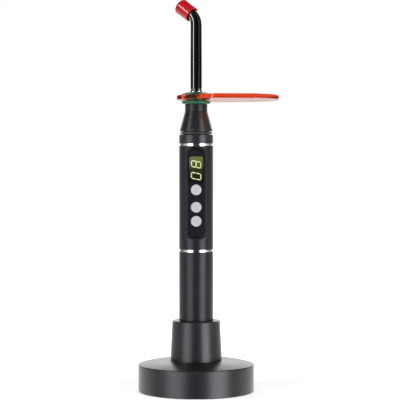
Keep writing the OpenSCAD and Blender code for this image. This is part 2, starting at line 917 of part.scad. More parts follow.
// Panel with the window opening, three button holes and four posts for the board
module control_panel() {
    color("#1b1d1f")
    difference() {
        union() {
            forward_slab(panel_w - 2 * panel_gap, panel_h - 2 * panel_gap, panel_r - panel_gap,
                panel_z, panel_back_y, panel_face_y);
            for (z = panel_post_zs)
                for (side = [-1, 1])
                    forward_post(side * post_x, z, panel_post_r, board_front_y, panel_back_y + panel_t / 2);
        }
        forward_slab(window_w, window_h, window_r, window_z,
            panel_face_y - window_t, panel_face_y + past);
        forward_slab(window_w - 2 * window_lip, window_h - 2 * window_lip, window_r - window_lip,
            window_z, panel_back_y - past, panel_face_y);
        for (z = button_zs)
            forward_post(0, z, button_r + button_gap, panel_back_y - past, panel_face_y + past);
        for (z = panel_post_zs)
            for (side = [-1, 1])
                forward_post(side * post_x, z, board_screw_r + thread_gap,
                    board_front_y - past, board_back_y + board_screw_l + slip_gap);
    }
}

module display_window() {
    color("#4a5030")
    forward_slab(window_w - 2 * inlay_gap, window_h - 2 * inlay_gap, window_r - inlay_gap,
        window_z, panel_face_y - window_t, panel_face_y);
}

module display_module() {
    color("#262b18")
    forward_slab(display_w, window_h - display_trim, window_lip, window_z,
        board_front_y, board_front_y + display_depth);
}

// One bar of a digit, pointed at both ends, between two points of the digit's frame
module digit_bar(a, b) {
    len = norm(b - a);
    d = (b - a) / len;
    n = [-d[1], d[0]] * digit_stroke / 2;
    s = a + d * digit_gap;
    e = b - d * digit_gap;
    tip = d * digit_stroke / 2;
    slope = tan(digit_slant);
    bar = [s, s + tip + n, e - tip + n, e, e - tip - n, s + tip - n];
    polygon([for (p = bar) [p[1], -p[0] - slope * p[1]]]);
}

// Seven bar digit that reads along the handle, with its top towards +X
module digit(z, with_middle) {
    w = digit_run / 2 - digit_stroke / 2;
    h = digit_rise / 2 - digit_stroke / 2;
    bars = concat(
        [[[-w, h], [w, h]], [[-w, -h], [w, -h]]],
        [for (x = [-w, w]) for (y = [-h, 0]) [[x, y], [x, y + h]]],
        with_middle ? [[[-w, 0], [w, 0]]] : []
    );
    translate([0, -board_front_y - display_depth, z])
        rotate([90, 0, 0])
            for (bar = bars)
                linear_extrude(digit_t)
                    digit_bar(bar[0], bar[1]);
}

module display_digits() {
    color("#e4e6a0") {
        digit(window_z + digit_pitch / 2 - digit_drop, true);
        digit(window_z - digit_pitch / 2 - digit_drop, false);
    }
}

// Button cap with a bevelled rim and shallow dish, a flange behind the panel and the switch stem
module button(z) {
    face = panel_face_y + button_proud - panel_back_y + button_flange_t;
    color("#c9ccd0")
    translate([0, -panel_back_y + button_flange_t, z])
        rotate([90, 0, 0])
            turned([
                [0, -button_stem_l],
                [button_stem_r, -button_stem_l],
                [button_stem_r, 0],
                [button_flange_r, 0],
                [button_flange_r, button_flange_t],
                [button_r, button_flange_t],
                [button_r, face - button_edge],
                [button_r - button_edge, face],
                [button_dish_r, face],
                [button_dish_r - button_dish, face - button_dish],
                [0, face - button_dish]
            ]);
}

module upper_button() {
    button(upper_button_z);
}

module middle_button() {
    button(middle_button_z);
}

module lower_button() {
    button(lower_button_z);
}

module tact_switches() {
    color("#3a3b3e")
    for (z = button_zs)
        difference() {
            board_box(switch_w, switch_w, switch_t, 0, z, board_front_y);
            forward_post(0, z, switch_hole_r,
                board_front_y + switch_t - switch_hole_depth, board_front_y + switch_t + past);
        }
}

module control_board() {
    color("#1f5a3a")
    difference() {
        board_box(board_w, board_h, board_t, 0, panel_z, board_back_y);
        for (z = panel_post_zs)
            for (side = [-1, 1])
                forward_post(side * post_x, z, board_screw_r + run_gap,
                    board_back_y - past, board_front_y + past);
    }
}

module board_chips() {
    // Width, height, thickness, offset across and offset up from the panel's middle
    chips = [[7, 7, 1.2, 0, 6], [4, 5, 1.4, -3.5, -5], [6, 6, 2.4, 1, 19]];
    color("#141516")
    for (c = chips)
        board_box(c[0], c[1], c[2], c[3], panel_z + c[4], board_back_y - c[2]);
}

module buzzer() {
    buzzer_r = 4.5;
    buzzer_hole_r = 0.8;
    buzzer_y = board_back_y - 3;
    color("#141516")
    difference() {
        forward_post(0, lower_button_z, buzzer_r, buzzer_y, board_back_y);
        forward_post(0, lower_button_z, buzzer_hole_r, buzzer_y - past, buzzer_y + past);
    }
}

module board_screws() {
    color("#b9bcc0")
    for (z = panel_post_zs)
        for (side = [-1, 1]) {
            forward_post(side * post_x, z, board_screw_head_r,
                board_back_y - board_screw_head_t, board_back_y);
            forward_post(side * post_x, z, board_screw_r,
                board_back_y - board_screw_head_t / 2, board_back_y + board_screw_l);
        }
}

// Leads from the contact disc to the board and from the board through the heat sink to the lamp
module inner_leads() {
    lead_y = -(board_front_y + board_back_y) / 2;
    board_top_z = panel_z + board_h / 2;
    board_foot_z = panel_z - board_h / 2;
    color("#b3261e") {
        for (side = [-1, 1])
            translate([side * lead_x, lead_y, board_top_z])
                post(lead_r, z_led_board - board_top_z);
        translate([0, lead_y, z_contact_disc + contact_disc_t])
            post(lead_r, board_foot_z - z_contact_disc - contact_disc_t);
    }
}

module head_collar() {
    color("#2f3033")
    turned([
        [spigot_bore_r, z_collar],
        [handle_r - joint_chamfer, z_collar],
        [handle_r, z_collar + joint_chamfer],
        [handle_r, z_collar_top - collar_edge],
        [handle_r - collar_edge, z_collar_top],
        [spigot_bore_r, z_collar_top]
    ]);
}

module seal_ring() {
    color("#1f2022")
    translate([0, 0, z_collar_top + seal_seat / 2])
        rotate_extrude($fn = round_fn)
            translate([seal_mid_r, 0])
                circle(r = seal_r, $fn = 48);
}

// Tapered nose with the lamp room inside and the bore that takes the light guide
module nose_cone() {
    color("#2f3033")
    turned([
        [nose_thread_r + thread_gap, z_nose],
        [nose_r - joint_chamfer, z_nose],
        [nose_r, z_nose + joint_chamfer],
        [nose_r, z_cone],
        [neck_r, z_neck],
        [neck_r, z_nose_top - neck_edge],
        [neck_r - neck_edge, z_nose_top],
        [guide_bore_r, z_nose_top],
        [guide_bore_r, o_ring_z + o_ring_groove_h / 2],
        [o_ring_mid_r + o_ring_section_r + glue_gap, o_ring_z + o_ring_groove_h / 2],
        [o_ring_mid_r + o_ring_section_r + glue_gap, o_ring_z - o_ring_groove_h / 2],
        [guide_bore_r, o_ring_z - o_ring_groove_h / 2],
        [guide_bore_r, z_lamp_room_top],
        [lamp_room_r, z_lamp_room_top],
        [lamp_room_r, z_lamp_room],
        [nose_thread_r + thread_gap, z_lamp_room]
    ]);
}

// Grooved slug that carries the lamp board, drilled for the two leads
module heat_sink() {
    sink_r = head_bore_r - glue_gap;
    lead_y = -(board_front_y + board_back_y) / 2;
    color("#b4b8bc")
    difference() {
        translate([0, 0, z_sink])
            post(sink_r, sink_h);
        for (i = [1 : sink_groove_count])
            translate([0, 0, z_sink + i * sink_h / (sink_groove_count + 1) - sink_groove / 2])
                tube(sink_r + past, sink_r - sink_groove, sink_groove);
        for (side = [-1, 1])
            translate([side * lead_x, lead_y, z_sink - past])
                post(lead_hole_r, sink_h + 2 * past);
    }
}

module led_board() {
    color("#e9ebed")
    translate([0, 0, z_led_board])
        post(led_board_r, led_board_t);
}

module led_emitter() {
    color("#e8d36a") {
        translate([-led_w / 2, -led_w / 2, z_led])
            cube([led_w, led_w, led_t]);
        translate([0, 0, z_led + led_t])
            intersection() {
                sphere(r = led_dome_r, $fn = 48);
                translate([-led_w, -led_w, -led_t / 2])
                    cube(2 * led_w);
            }
    }
}

module reflector() {
    color("#d9dbde")
    turned([
        [reflector_foot_r, z_led],
        [reflector_r, z_led],
        [reflector_r, z_lamp_room_top - slip_gap],
        [reflector_top_r, z_lamp_room_top - slip_gap]
    ]);
}

module guide_o_ring() {
    color("#1f2022")
    translate([0, 0, o_ring_z])
        rotate_extrude($fn = round_fn)
            translate([o_ring_mid_r, 0])
                circle(r = o_ring_section_r, $fn = 48);
}

// Place at the start of the straight tip, with +Z along the tip
module at_tip() {
    translate([-guide_bend_r, 0, z_bend])
        rotate([0, -guide_bend, 0])
            translate([guide_bend_r, 0, 0])
                children();
}

// Turns what bends towards -X to the light guide's resting side
module swung() {
    rotate([0, 0, -guide_turn])
        children();
}

// Round rod along the light guide's route, reaching past both ends by extra.
// The tip is ground a little slimmer than the bend and is rooted inside it.
module bent_rod(r, extra) {
    translate([0, 0, z_guide - extra])
        post(r, z_bend - z_guide + extra);
    translate([-guide_bend_r, 0, z_bend])
        rotate([90, 0, 0])
            rotate_extrude(angle = guide_bend, $fn = round_fn)
                translate([guide_bend_r, 0])
                    circle(r = r, $fn = 48);
    at_tip()
        translate([0, 0, -tip_root])
            post(r - tip_relief, tip_root + guide_tip_l + extra);
}

module guide_jacket() {
    color("#121315")
    swung()
        difference() {
            bent_rod(guide_r, 0);
            bent_rod(core_r + glue_gap, past);
        }
}

module guide_core() {
    color("#d9c9a8")
    swung()
        bent_rod(core_r, 0);
}

module guide_ferrule() {
    color("#d9dbde")
    turned([
        [guide_r + glue_gap, z_guide],
        [ferrule_r, z_guide],
        [ferrule_r, z_ferrule_top - ferrule_cone_share * ferrule_proud],
        [guide_r + glue_gap + ferrule_lip, z_ferrule_top],
        [guide_r + glue_gap, z_ferrule_top]
    ]);
}

// Soft cap: a sleeve with a flared mouth that swells towards its rounded end
module guide_cap() {
    color("#d2232a")
    swung()
        at_tip()
            translate([0, 0, cap_start])
                turned(concat(
                    [[0, cap_bore_l], [cap_bore_r, cap_bore_l],
                     [cap_bore_r, cap_flare_h], [cap_bore_r + cap_flare, 0],
                     [cap_mouth_r - cap_lip, 0], [cap_mouth_r, cap_lip]],
                    arc(cap_r - cap_round_r, cap_l - cap_round_r, cap_round_r, 0, 90, 8),
                    [[0, cap_l]]
                ));
}

// Outline of the shield, drawn in by inset
module shield_outline(inset) {
    hull() {
        circle(r = shield_head_r - inset, $fn = 64);
        for (side = [-1, 1])
            translate([shield_shoulder_x, side * (shield_half_w - shield_shoulder_r)])
                circle(r = shield_shoulder_r - inset, $fn = 48);
        translate([shield_reach - shield_end_r, 0])
            circle(r = shield_end_r - inset, $fn = 96);
    }
}

// Clear plate with softened edges that leans a little in its ring
module shield_plate() {
    color("#e8642a")
    translate([0, 0, shield_z])
        rotate([-shield_lean, 0, 0])
            difference() {
                hull() {
                    translate([0, 0, -shield_t / 2])
                        linear_extrude(shield_t)
                            shield_outline(shield_edge);
                    translate([0, 0, -shield_t / 2 + shield_edge])
                        linear_extrude(shield_t - 2 * shield_edge)
                            shield_outline(0);
                }
                translate([0, 0, -shield_t])
                    post(shield_hole_r, 2 * shield_t);
            }
}

// Rubber grommet: a round-edged foot, the groove for the plate, a sloping upper flange and the bore
module shield_ring() {
    lower_r = ring_lower_d / 2 - ring_round;
    upper_r = ring_upper_d / 2 - ring_rim_round;
    color("#3f7f63")
    turned(concat(
        [[ring_bore_r + ring_hub_w, z_ring_top], [ring_bore_r, z_ring_top], [ring_bore_r, z_nose_top]],
        arc(lower_r, z_nose_top + ring_round, ring_round, -90, 0, 5),
        arc(lower_r, z_ring_groove - ring_round, ring_round, 0, 90, 5),
        [[ring_waist_r, z_ring_groove], [ring_waist_r, z_ring_upper]],
        arc(upper_r, z_ring_upper + ring_rim_round, ring_rim_round, -90, 75, 8)
    ));
}

stand_shell();
socket_collar();
socket_nut();
contact_carrier();
charge_pin_centre();
charge_pin_outer();
pin_spring_centre();
pin_spring_outer();
charger_board();
dc_jack();
jack_nut();
jack_leads();
ballast_ring();
bottom_plate();
bottom_screws();
foot_pad();
battery_tube();
tail_plug();
tail_contact_pad();
tail_contact_ring();
battery_spring();
battery_cell();
positive_contact();
contact_disc();
lower_trim_ring();
body_tube();
upper_trim_ring();
control_panel();
display_window();
display_digits();
display_module();
upper_button();
middle_button();
lower_button();
tact_switches();
control_board();
board_chips();
buzzer();
board_screws();
inner_leads();
head_collar();
seal_ring();
nose_cone();
heat_sink();
led_board();
led_emitter();
reflector();
guide_o_ring();
guide_jacket();
guide_core();
guide_ferrule();
guide_cap();
shield_plate();
shield_ring();
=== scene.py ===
# %% [markdown]
# # A cordless curing light in its charging stand
#
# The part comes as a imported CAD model: one object for each piece, in metres, already hung on the
# bodies that move. This lesson leaves every solid where it is and gives it the finish of the real
# product. The soft pieces, the springs and the clear shield are modelled again as finer meshes.

# %% Load the fixed frame
import math

import bmesh
import bpy
from mathutils import Matrix, Vector


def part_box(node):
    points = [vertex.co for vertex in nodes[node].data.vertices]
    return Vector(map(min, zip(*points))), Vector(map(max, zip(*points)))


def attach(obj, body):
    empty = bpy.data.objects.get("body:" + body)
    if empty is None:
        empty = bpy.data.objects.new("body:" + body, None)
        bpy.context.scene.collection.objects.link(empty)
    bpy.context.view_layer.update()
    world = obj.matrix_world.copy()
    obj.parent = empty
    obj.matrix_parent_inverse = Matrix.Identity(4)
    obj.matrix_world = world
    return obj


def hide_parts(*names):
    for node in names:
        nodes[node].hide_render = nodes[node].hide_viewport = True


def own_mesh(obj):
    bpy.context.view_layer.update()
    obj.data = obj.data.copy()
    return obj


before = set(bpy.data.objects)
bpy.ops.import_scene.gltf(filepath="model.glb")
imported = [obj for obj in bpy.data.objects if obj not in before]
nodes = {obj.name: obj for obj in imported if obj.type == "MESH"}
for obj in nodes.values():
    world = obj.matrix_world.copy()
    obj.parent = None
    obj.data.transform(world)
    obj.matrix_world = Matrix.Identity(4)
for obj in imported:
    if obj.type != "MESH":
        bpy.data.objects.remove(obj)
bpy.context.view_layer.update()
MM = 0.001

# %% [markdown]
# ## The camera
#
# The product was photographed from over a metre away with a long lens, a little below the top of
# the handle. A focal length in pixels becomes a lens by comparing the picture's width with the
# sensor's. Fitting known heights of the object gave the camera's place and its small tilt.

# %% Camera
PHOTO_PX = 400
FOCAL_PX = 1750
SENSOR_MM = 36
CAMERA_AT = Vector((2.71, -1239, 178.8)) * MM
CAMERA_TILT = math.radians(1.964)

scene = bpy.context.scene
camera = bpy.data.objects.new("studio_camera", bpy.data.cameras.new("studio_camera"))
camera.data.sensor_width = SENSOR_MM
camera.data.lens = SENSOR_MM * FOCAL_PX / PHOTO_PX
camera.location = CAMERA_AT
camera.rotation_euler = (math.pi / 2 - CAMERA_TILT, 0, 0)
scene.collection.objects.link(camera)
scene.camera = camera
scene.view_settings.view_transform = "Standard"
print("lens in mm:", camera.data.lens)

# %% [markdown]
# ## Helpers for shader nodes
#
# Node trees are long to write one call at a time. These few helpers add a node, set its values or
# wire them when the value is a socket, and return what the next node needs. A shared effect
# becomes a node group, whose sockets are declared on the group's interface.

# %% Node helpers
def place(tree, kind, inputs=None, **settings):
    made = tree.nodes.new("ShaderNode" + kind)
    for key, value in settings.items():
        setattr(made, key, value)
    for key, value in (inputs or {}).items():
        if isinstance(value, bpy.types.NodeSocket):
            tree.links.new(value, made.inputs[key])
        else:
            made.inputs[key].default_value = value
    return made


def calc(tree, operation, *values):
    return place(tree, "Math", dict(enumerate(values)), operation=operation).outputs[0]


def vector_calc(tree, operation, *values):
    return place(tree, "VectorMath", dict(enumerate(values)), operation=operation).outputs


def fade(tree, value, low, high, to_low=0.0, to_high=1.0):
    inputs = {"Value": value, "From Min": low, "From Max": high, "To Min": to_low, "To Max": to_high}
    return place(tree, "MapRange", inputs, interpolation_type="SMOOTHSTEP").outputs[0]


def mix_colour(tree, factor, first, second):
    return place(tree, "Mix", {0: factor, 6: first, 7: second}, data_type="RGBA").outputs[2]


def noise(tree, where, scale, detail=2.0, distortion=0.0):
    inputs = {"Vector": where, "Scale": scale, "Detail": detail, "Distortion": distortion}
    return place(tree, "TexNoise", inputs).outputs[0]


def bump(tree, height, strength, depth_mm):
    inputs = {"Height": height, "Strength": strength, "Distance": depth_mm * MM}
    return place(tree, "Bump", inputs).outputs["Normal"]


def millimetres(tree):
    where = place(tree, "TexCoord").outputs["Object"]
    return place(tree, "VectorMath", {0: where, "Scale": 1 / MM}, operation="SCALE").outputs[0]


def axis_distance(tree, centre=(0, 0, 0), along="Z"):
    """Distance in millimetres from the line through centre along one axis."""
    offset = vector_calc(tree, "SUBTRACT", millimetres(tree), centre)[0]
    across = {"X": (0, 1, 1), "Y": (1, 0, 1), "Z": (1, 1, 0)}[along]
    return vector_calc(tree, "LENGTH", vector_calc(tree, "MULTIPLY", offset, across)[0])["Value"]


def grey(level):
    return (level, level, level, 1)


# %% Group helpers
def new_group(name, inputs, outputs):
    group = bpy.data.node_groups.new(name, "ShaderNodeTree")
    for label, value in inputs.items():
        socket = group.interface.new_socket(name=label, in_out="INPUT", socket_type="NodeSocketFloat")
        socket.default_value = value
    for label in outputs:
        group.interface.new_socket(name=label, in_out="OUTPUT", socket_type="NodeSocketFloat")
    return group, group.nodes.new("NodeGroupInput").outputs, group.nodes.new("NodeGroupOutput").inputs


def use(tree, group, **inputs):
    return place(tree, "Group", inputs, node_tree=group).outputs


def announce(group):
    sockets = [item.name for item in group.interface.items_tree if item.in_out == "OUTPUT"]
    print(group.name, "puts out", ", ".join(sockets))


# %% [markdown]
# ## Effects that several finishes share
#
# Satin metal and moulded plastic both have a fine grain and a gloss that wanders a little. Turned
# pieces carry faint rings round their axis. A mask picks out edges: on bare metal it marks rubbed
# wear, and on the black tubes it is partly wear and partly a painted highlight.
# Polished pieces pick up smudges. Each effect is one group that puts out only masks and values.

# %% Satin grain
grain_inputs = {"Size": 0.15, "Gloss": 0.3, "Matt": 0.4}
SATIN_GRAIN, given, out = new_group("satin_grain", grain_inputs, ("Height", "Shade", "Roughness"))
at = millimetres(SATIN_GRAIN)
fine = noise(SATIN_GRAIN, at, calc(SATIN_GRAIN, "DIVIDE", 1.0, given["Size"]), 3.0)
wander = noise(SATIN_GRAIN, at, 0.11, 4.0)
both = place(SATIN_GRAIN, "Mix", {0: 0.4, 2: fine, 3: wander}).outputs[0]
SATIN_GRAIN.links.new(fine, out["Height"])
SATIN_GRAIN.links.new(fade(SATIN_GRAIN, both, 0.3, 0.7), out["Shade"])
grain_gloss = fade(SATIN_GRAIN, both, 0.3, 0.7, given["Gloss"], given["Matt"])
SATIN_GRAIN.links.new(grain_gloss, out["Roughness"])
announce(SATIN_GRAIN)

# %% Turned rings
TURNED_RINGS, given, out = new_group("turned_rings", {"Pitch": 0.2}, ("Height", "Shade"))
height = place(TURNED_RINGS, "SeparateXYZ", {0: millimetres(TURNED_RINGS)}).outputs[2]
around = place(TURNED_RINGS, "CombineXYZ", {0: axis_distance(TURNED_RINGS), 2: height}).outputs[0]
rings = noise(TURNED_RINGS, around, calc(TURNED_RINGS, "DIVIDE", 1.0, given["Pitch"]))
TURNED_RINGS.links.new(rings, out["Height"])
TURNED_RINGS.links.new(fade(TURNED_RINGS, rings, 0.35, 0.65), out["Shade"])
announce(TURNED_RINGS)

# %% Edge mask
EDGE_MASK, given, out = new_group("edge_mask", {"Width": 0.2, "Spread": 0.5}, ("Mask",))
# Edge mask with patches: the finishes paint wear along it, and on the black tubes a painted highlight
# too.
reach = calc(EDGE_MASK, "MULTIPLY", given["Width"], MM)
rounded_normal = place(EDGE_MASK, "Bevel", {"Radius": reach}, samples=4).outputs[0]
true_normal = place(EDGE_MASK, "NewGeometry").outputs["Normal"]
likeness = vector_calc(EDGE_MASK, "DOT_PRODUCT", rounded_normal, true_normal)["Value"]
edge = fade(EDGE_MASK, calc(EDGE_MASK, "SUBTRACT", 1.0, likeness), 0.01, 0.2)
patches = noise(EDGE_MASK, millimetres(EDGE_MASK), 0.6, 5.0)
patches = calc(EDGE_MASK, "MULTIPLY_ADD", patches, given["Spread"], 0.5)
EDGE_MASK.links.new(calc(EDGE_MASK, "MULTIPLY", edge, patches), out["Mask"])
announce(EDGE_MASK)

# %% Smudges
SMUDGES, given, out = new_group("smudges", {"Clean": 0.05, "Smudged": 0.12}, ("Roughness", "Height"))
at = millimetres(SMUDGES)
film = noise(SMUDGES, at, 0.16, 6.0, 0.8)
film_gloss = fade(SMUDGES, film, 0.45, 0.75, given["Clean"], given["Smudged"])
SMUDGES.links.new(film_gloss, out["Roughness"])
SMUDGES.links.new(noise(SMUDGES, at, 0.35, 1.0), out["Height"])
announce(SMUDGES)

# %% Moulded skin
skin_inputs = {"Size": 0.2, "Gloss": 0.4, "Matt": 0.55}
MOULDED_SKIN, given, out = new_group("moulded_skin", skin_inputs, ("Height", "Shade", "Roughness"))
at = millimetres(MOULDED_SKIN)
per_mm = calc(MOULDED_SKIN, "DIVIDE", 1.0, given["Size"])
cell_inputs = {"Vector": at, "Scale": per_mm}
cells = place(MOULDED_SKIN, "TexVoronoi", cell_inputs, feature="SMOOTH_F1").outputs[0]
cloudy = noise(MOULDED_SKIN, at, 0.25, 5.0)
MOULDED_SKIN.links.new(cells, out["Height"])
MOULDED_SKIN.links.new(fade(MOULDED_SKIN, cloudy, 0.3, 0.7), out["Shade"])
skin_gloss = fade(MOULDED_SKIN, cloudy, 0.3, 0.7, given["Gloss"], given["Matt"])
MOULDED_SKIN.links.new(skin_gloss, out["Roughness"])
announce(MOULDED_SKIN)

# %% [markdown]
# ## Finishes
#
# A finish is a material with one Principled shader. Values that are the same all over sit on the
# shader's own sockets, and only what changes over the surface is wired. Nearly every finish wires a
# colour, a roughness and a relief, so one helper does that. The last helper gives a finish to the
# CAD pieces that are named in the call.

# %% Finish helpers
def new_finish(name, **constants):
    material = bpy.data.materials.new(name)
    material.use_nodes = True
    tree = material.node_tree
    skin = tree.nodes["Principled BSDF"].inputs
    for label, value in constants.items():
        skin[label.replace("_", " ")].default_value = value
    return material, tree, skin


def wire(tree, skin, **sources):
    for label, source in sources.items():
        tree.links.new(source, skin[label.replace("_", " ")])


def wire_surface(tree, skin, tone, gloss, height, strength, depth_mm):
    wire(tree, skin, Base_Color=tone, Roughness=gloss, Normal=bump(tree, height, strength, depth_mm))


def dress(material, *names):
    for name in names:
        for slot in nodes[name].material_slots:
            slot.material = material
    print(material.name, "on", ", ".join(names))


# %% [markdown]
# ### Black metal and plastic
#
# The tubes and the nose are turned aluminium with a dyed oxide skin. The stand and the head's collar
# are painted to match. Both reflect less than bare plastic does, so their specular level is turned
# down, and its tint is a little cool. The turned rings and the fine grain could be modelled, but they
# are only a few thousandths of a millimetre deep, so a bump does. The edges are paler: partly rubbed
# wear, and partly a painted highlight, the thin light line that an edge catches.

# %% Satin black
# A cool specular tint: it paints the cool colour of the lamps into the reflections.
COOL_SHEEN = (0.93, 0.96, 1, 1)


def satin_black(name, dark, pale, wear_and_glint, ring_share, shine):
    material, tree, skin = new_finish(
        name, IOR=1.5, Specular_IOR_Level=shine, Specular_Tint=COOL_SHEEN)
    grain = use(tree, SATIN_GRAIN, Size=0.12, Gloss=0.31, Matt=0.38)
    rings = use(tree, TURNED_RINGS, Pitch=0.3)
    # Paler edges: partly rubbed wear, partly a painted highlight along each edge.
    paler_edges = use(tree, EDGE_MASK, Width=0.25, Spread=0.6)["Mask"]
    tone = mix_colour(tree, paler_edges, mix_colour(tree, grain["Shade"], dark, pale), wear_and_glint)
    relief = place(tree, "Mix", {0: ring_share, 2: grain["Height"], 3: rings["Height"]}).outputs[0]
    wire_surface(tree, skin, tone, grain["Roughness"], relief, 0.12, 0.02)
    return material


# The pale edge colour of the tubes is partly wear and partly a painted highlight.
anodised = satin_black(
    "anodised_black",
    dark=(0.007, 0.0082, 0.0105, 1),
    pale=(0.011, 0.0125, 0.0152, 1),
    wear_and_glint=(0.16, 0.165, 0.175, 1),
    ring_share=0.4,
    shine=0.25,
)
painted = satin_black(
    "stand_black",
    dark=(0.0075, 0.0084, 0.0098, 1),
    pale=(0.0115, 0.0126, 0.0142, 1),
    wear_and_glint=(0.07, 0.073, 0.08, 1),
    ring_share=0.1,
    shine=0.41,
)
dress(anodised, "battery_tube", "body_tube", "nose_cone")
dress(painted, "stand_shell", "socket_collar", "head_collar")

# %% [markdown]
# ### Gloss black panel
#
# The inlaid panel is smooth moulded plastic, glossier than the tube round it. Fingers leave a film
# on it, so the roughness wanders with the smudges. One plain roughness would look like wet paint.

# %% Gloss black panel
def panel_black():
    material, tree, skin = new_finish("panel_black", IOR=1.5, Specular_IOR_Level=0.28)
    smudges = use(tree, SMUDGES, Clean=0.14, Smudged=0.3)
    grain = use(tree, SATIN_GRAIN, Size=0.3)
    tone = mix_colour(tree, grain["Shade"], (0.008, 0.0085, 0.0105, 1), (0.012, 0.0125, 0.0145, 1))
    wire_surface(tree, skin, tone, smudges["Roughness"], smudges["Height"], 0.05, 0.05)
    return material


dress(panel_black(), "control_panel")

# %% [markdown]
# ### Bright chrome
#
# The two trim rings, the sleeve at the rod's foot and the lamp's reflector are plated. A metal shows
# little more than what it mirrors, so most of its look comes from the studio further down. Very fine
# turned rings and a few smudges keep it from being a perfect mirror.

# %% Bright chrome
def chrome_trim():
    material, tree, skin = new_finish("chrome_trim", Metallic=1.0)
    rings = use(tree, TURNED_RINGS, Pitch=0.08)
    smudges = use(tree, SMUDGES, Clean=0.08, Smudged=0.18)
    tone = mix_colour(tree, rings["Shade"], (0.78, 0.79, 0.81, 1), (0.88, 0.885, 0.89, 1))
    wire_surface(tree, skin, tone, smudges["Roughness"], rings["Height"], 0.1, 0.01)
    return material


dress(chrome_trim(), "lower_trim_ring", "upper_trim_ring", "guide_ferrule", "reflector")

# %% [markdown]
# ### Display
#
# The window is clear and lightly tinted. Behind it the display's face glows olive at its top and
# falls to black at its foot, and the digits are brighter bars on it that dim towards their rims. A
# picture of a display would be the quick way. Solid digits with their own glow stay sharp however
# close the camera comes.

# %% Display window
def window_tint():
    material, tree, skin = new_finish("window_tint", Transmission_Weight=1.0, IOR=1.35)
    smudges = use(tree, SMUDGES, Clean=0.02, Smudged=0.06)
    grain = use(tree, SATIN_GRAIN, Size=0.5)
    tone = mix_colour(tree, grain["Shade"], (0.86, 0.88, 0.7, 1), (0.92, 0.94, 0.78, 1))
    wire(tree, skin, Base_Color=tone, Roughness=smudges["Roughness"])
    return material


dress(window_tint(), "display_window")

# %% Display face
DIM_FOOT = 8
BRIGHT_TOP = 2.5


def display_face():
    material, tree, skin = new_finish(
        "display_face", Roughness=0.4, Specular_IOR_Level=0.05, Emission_Strength=1.0)
    low, high = (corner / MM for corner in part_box("display_module"))
    across, _, up = place(tree, "SeparateXYZ", {0: millimetres(tree)}).outputs
    upper = fade(tree, up, low.z + DIM_FOOT, high.z - BRIGHT_TOP, 0.0, 0.85)
    lower = fade(tree, up, low.z, low.z + DIM_FOOT, 0.0, 0.15)
    side = fade(tree, calc(tree, "ABSOLUTE", across), 3.5, high.x + 0.5, 1.0, 0.7)
    weave = fade(tree, noise(tree, millimetres(tree), 3.0), 0.2, 0.6, 0.85, 1.0)
    lit = calc(tree, "MULTIPLY", calc(tree, "ADD", upper, lower), calc(tree, "MULTIPLY", side, weave))
    glow = mix_colour(tree, lit, (0.002, 0.003, 0.001, 1), (0.17, 0.182, 0.07, 1))
    plastic = mix_colour(tree, weave, grey(0.002), grey(0.006))
    wire(tree, skin, Base_Color=plastic, Emission_Color=glow)
    return material


dress(display_face(), "display_module")


# %% Display digits
def digit_glow():
    material, tree, skin = new_finish(
        "digit_glow", Roughness=0.4, Specular_IOR_Level=0.05, Emission_Strength=0.58)
    spread = noise(tree, millimetres(tree), 1.2, 1.0)
    glow = mix_colour(tree, spread, (0.74, 0.79, 0.58, 1), (0.85, 0.88, 0.7, 1))
    rim = fade(tree, use(tree, EDGE_MASK, Width=0.25, Spread=0.0)["Mask"], 0.0, 0.3)
    glow = mix_colour(tree, rim, glow, (0.1, 0.11, 0.03, 1))
    wire(tree, skin, Base_Color=glow, Emission_Color=glow)
    return material


dress(digit_glow(), "display_digits")

# %% [markdown]
# ### Silver buttons
#
# The buttons are painted silver. Paint with flakes is not bare metal, so the finish is a pale grey
# with a soft gloss, and a band along its rim is painted near white.

# %% Silver buttons
def button_silver():
    material, tree, skin = new_finish("button_silver", IOR=1.5)
    grain = use(tree, SATIN_GRAIN, Size=0.1, Gloss=0.35, Matt=0.45)
    # A band along the rim, painted near white.
    paler_edges = use(tree, EDGE_MASK, Width=0.7, Spread=0.2)["Mask"]
    tone = mix_colour(tree, grain["Shade"], (0.37, 0.375, 0.385, 1), (0.42, 0.425, 0.435, 1))
    tone = mix_colour(tree, paler_edges, tone, (0.85, 0.85, 0.86, 1))
    wire_surface(tree, skin, tone, grain["Roughness"], grain["Height"], 0.15, 0.02)
    return material


dress(button_silver(), "upper_button", "middle_button", "lower_button")

# %% [markdown]
# ### Light guide
#
# The guide is a fused bundle of glass fibres in a polished black jacket, and its end shows the fibres
# when the cap is pulled off. The fibres are the cells of a Voronoi texture, which keeps some thousand
# of them out of the mesh. The jacket has a clear coat over its black, as polished glass has.

# %% Light guide
def guide_black():
    material, tree, skin = new_finish("guide_black", IOR=1.5, Coat_Weight=0.8, Coat_Roughness=0.02)
    smudges = use(tree, SMUDGES, Clean=0.03, Smudged=0.06)
    grain = use(tree, SATIN_GRAIN, Size=0.4)
    tone = mix_colour(tree, grain["Shade"], (0.0015, 0.0015, 0.002, 1), (0.0035, 0.0035, 0.004, 1))
    wire_surface(tree, skin, tone, smudges["Roughness"], smudges["Height"], 0.01, 0.05)
    return material


def guide_glass():
    material, tree, skin = new_finish("guide_glass", Roughness=0.08, IOR=1.5, Coat_Weight=0.6)
    bundle = {"Vector": millimetres(tree), "Scale": 9.0}
    fibres = place(tree, "TexVoronoi", bundle, feature="DISTANCE_TO_EDGE").outputs[0]
    tone = mix_colour(tree, fade(tree, fibres, 0.0, 0.12), (0.28, 0.2, 0.1, 1), (0.82, 0.74, 0.55, 1))
    wire(tree, skin, Base_Color=tone, Normal=bump(tree, fibres, 0.1, 0.02))
    return material


dress(guide_black(), "guide_jacket")
dress(guide_glass(), "guide_core")
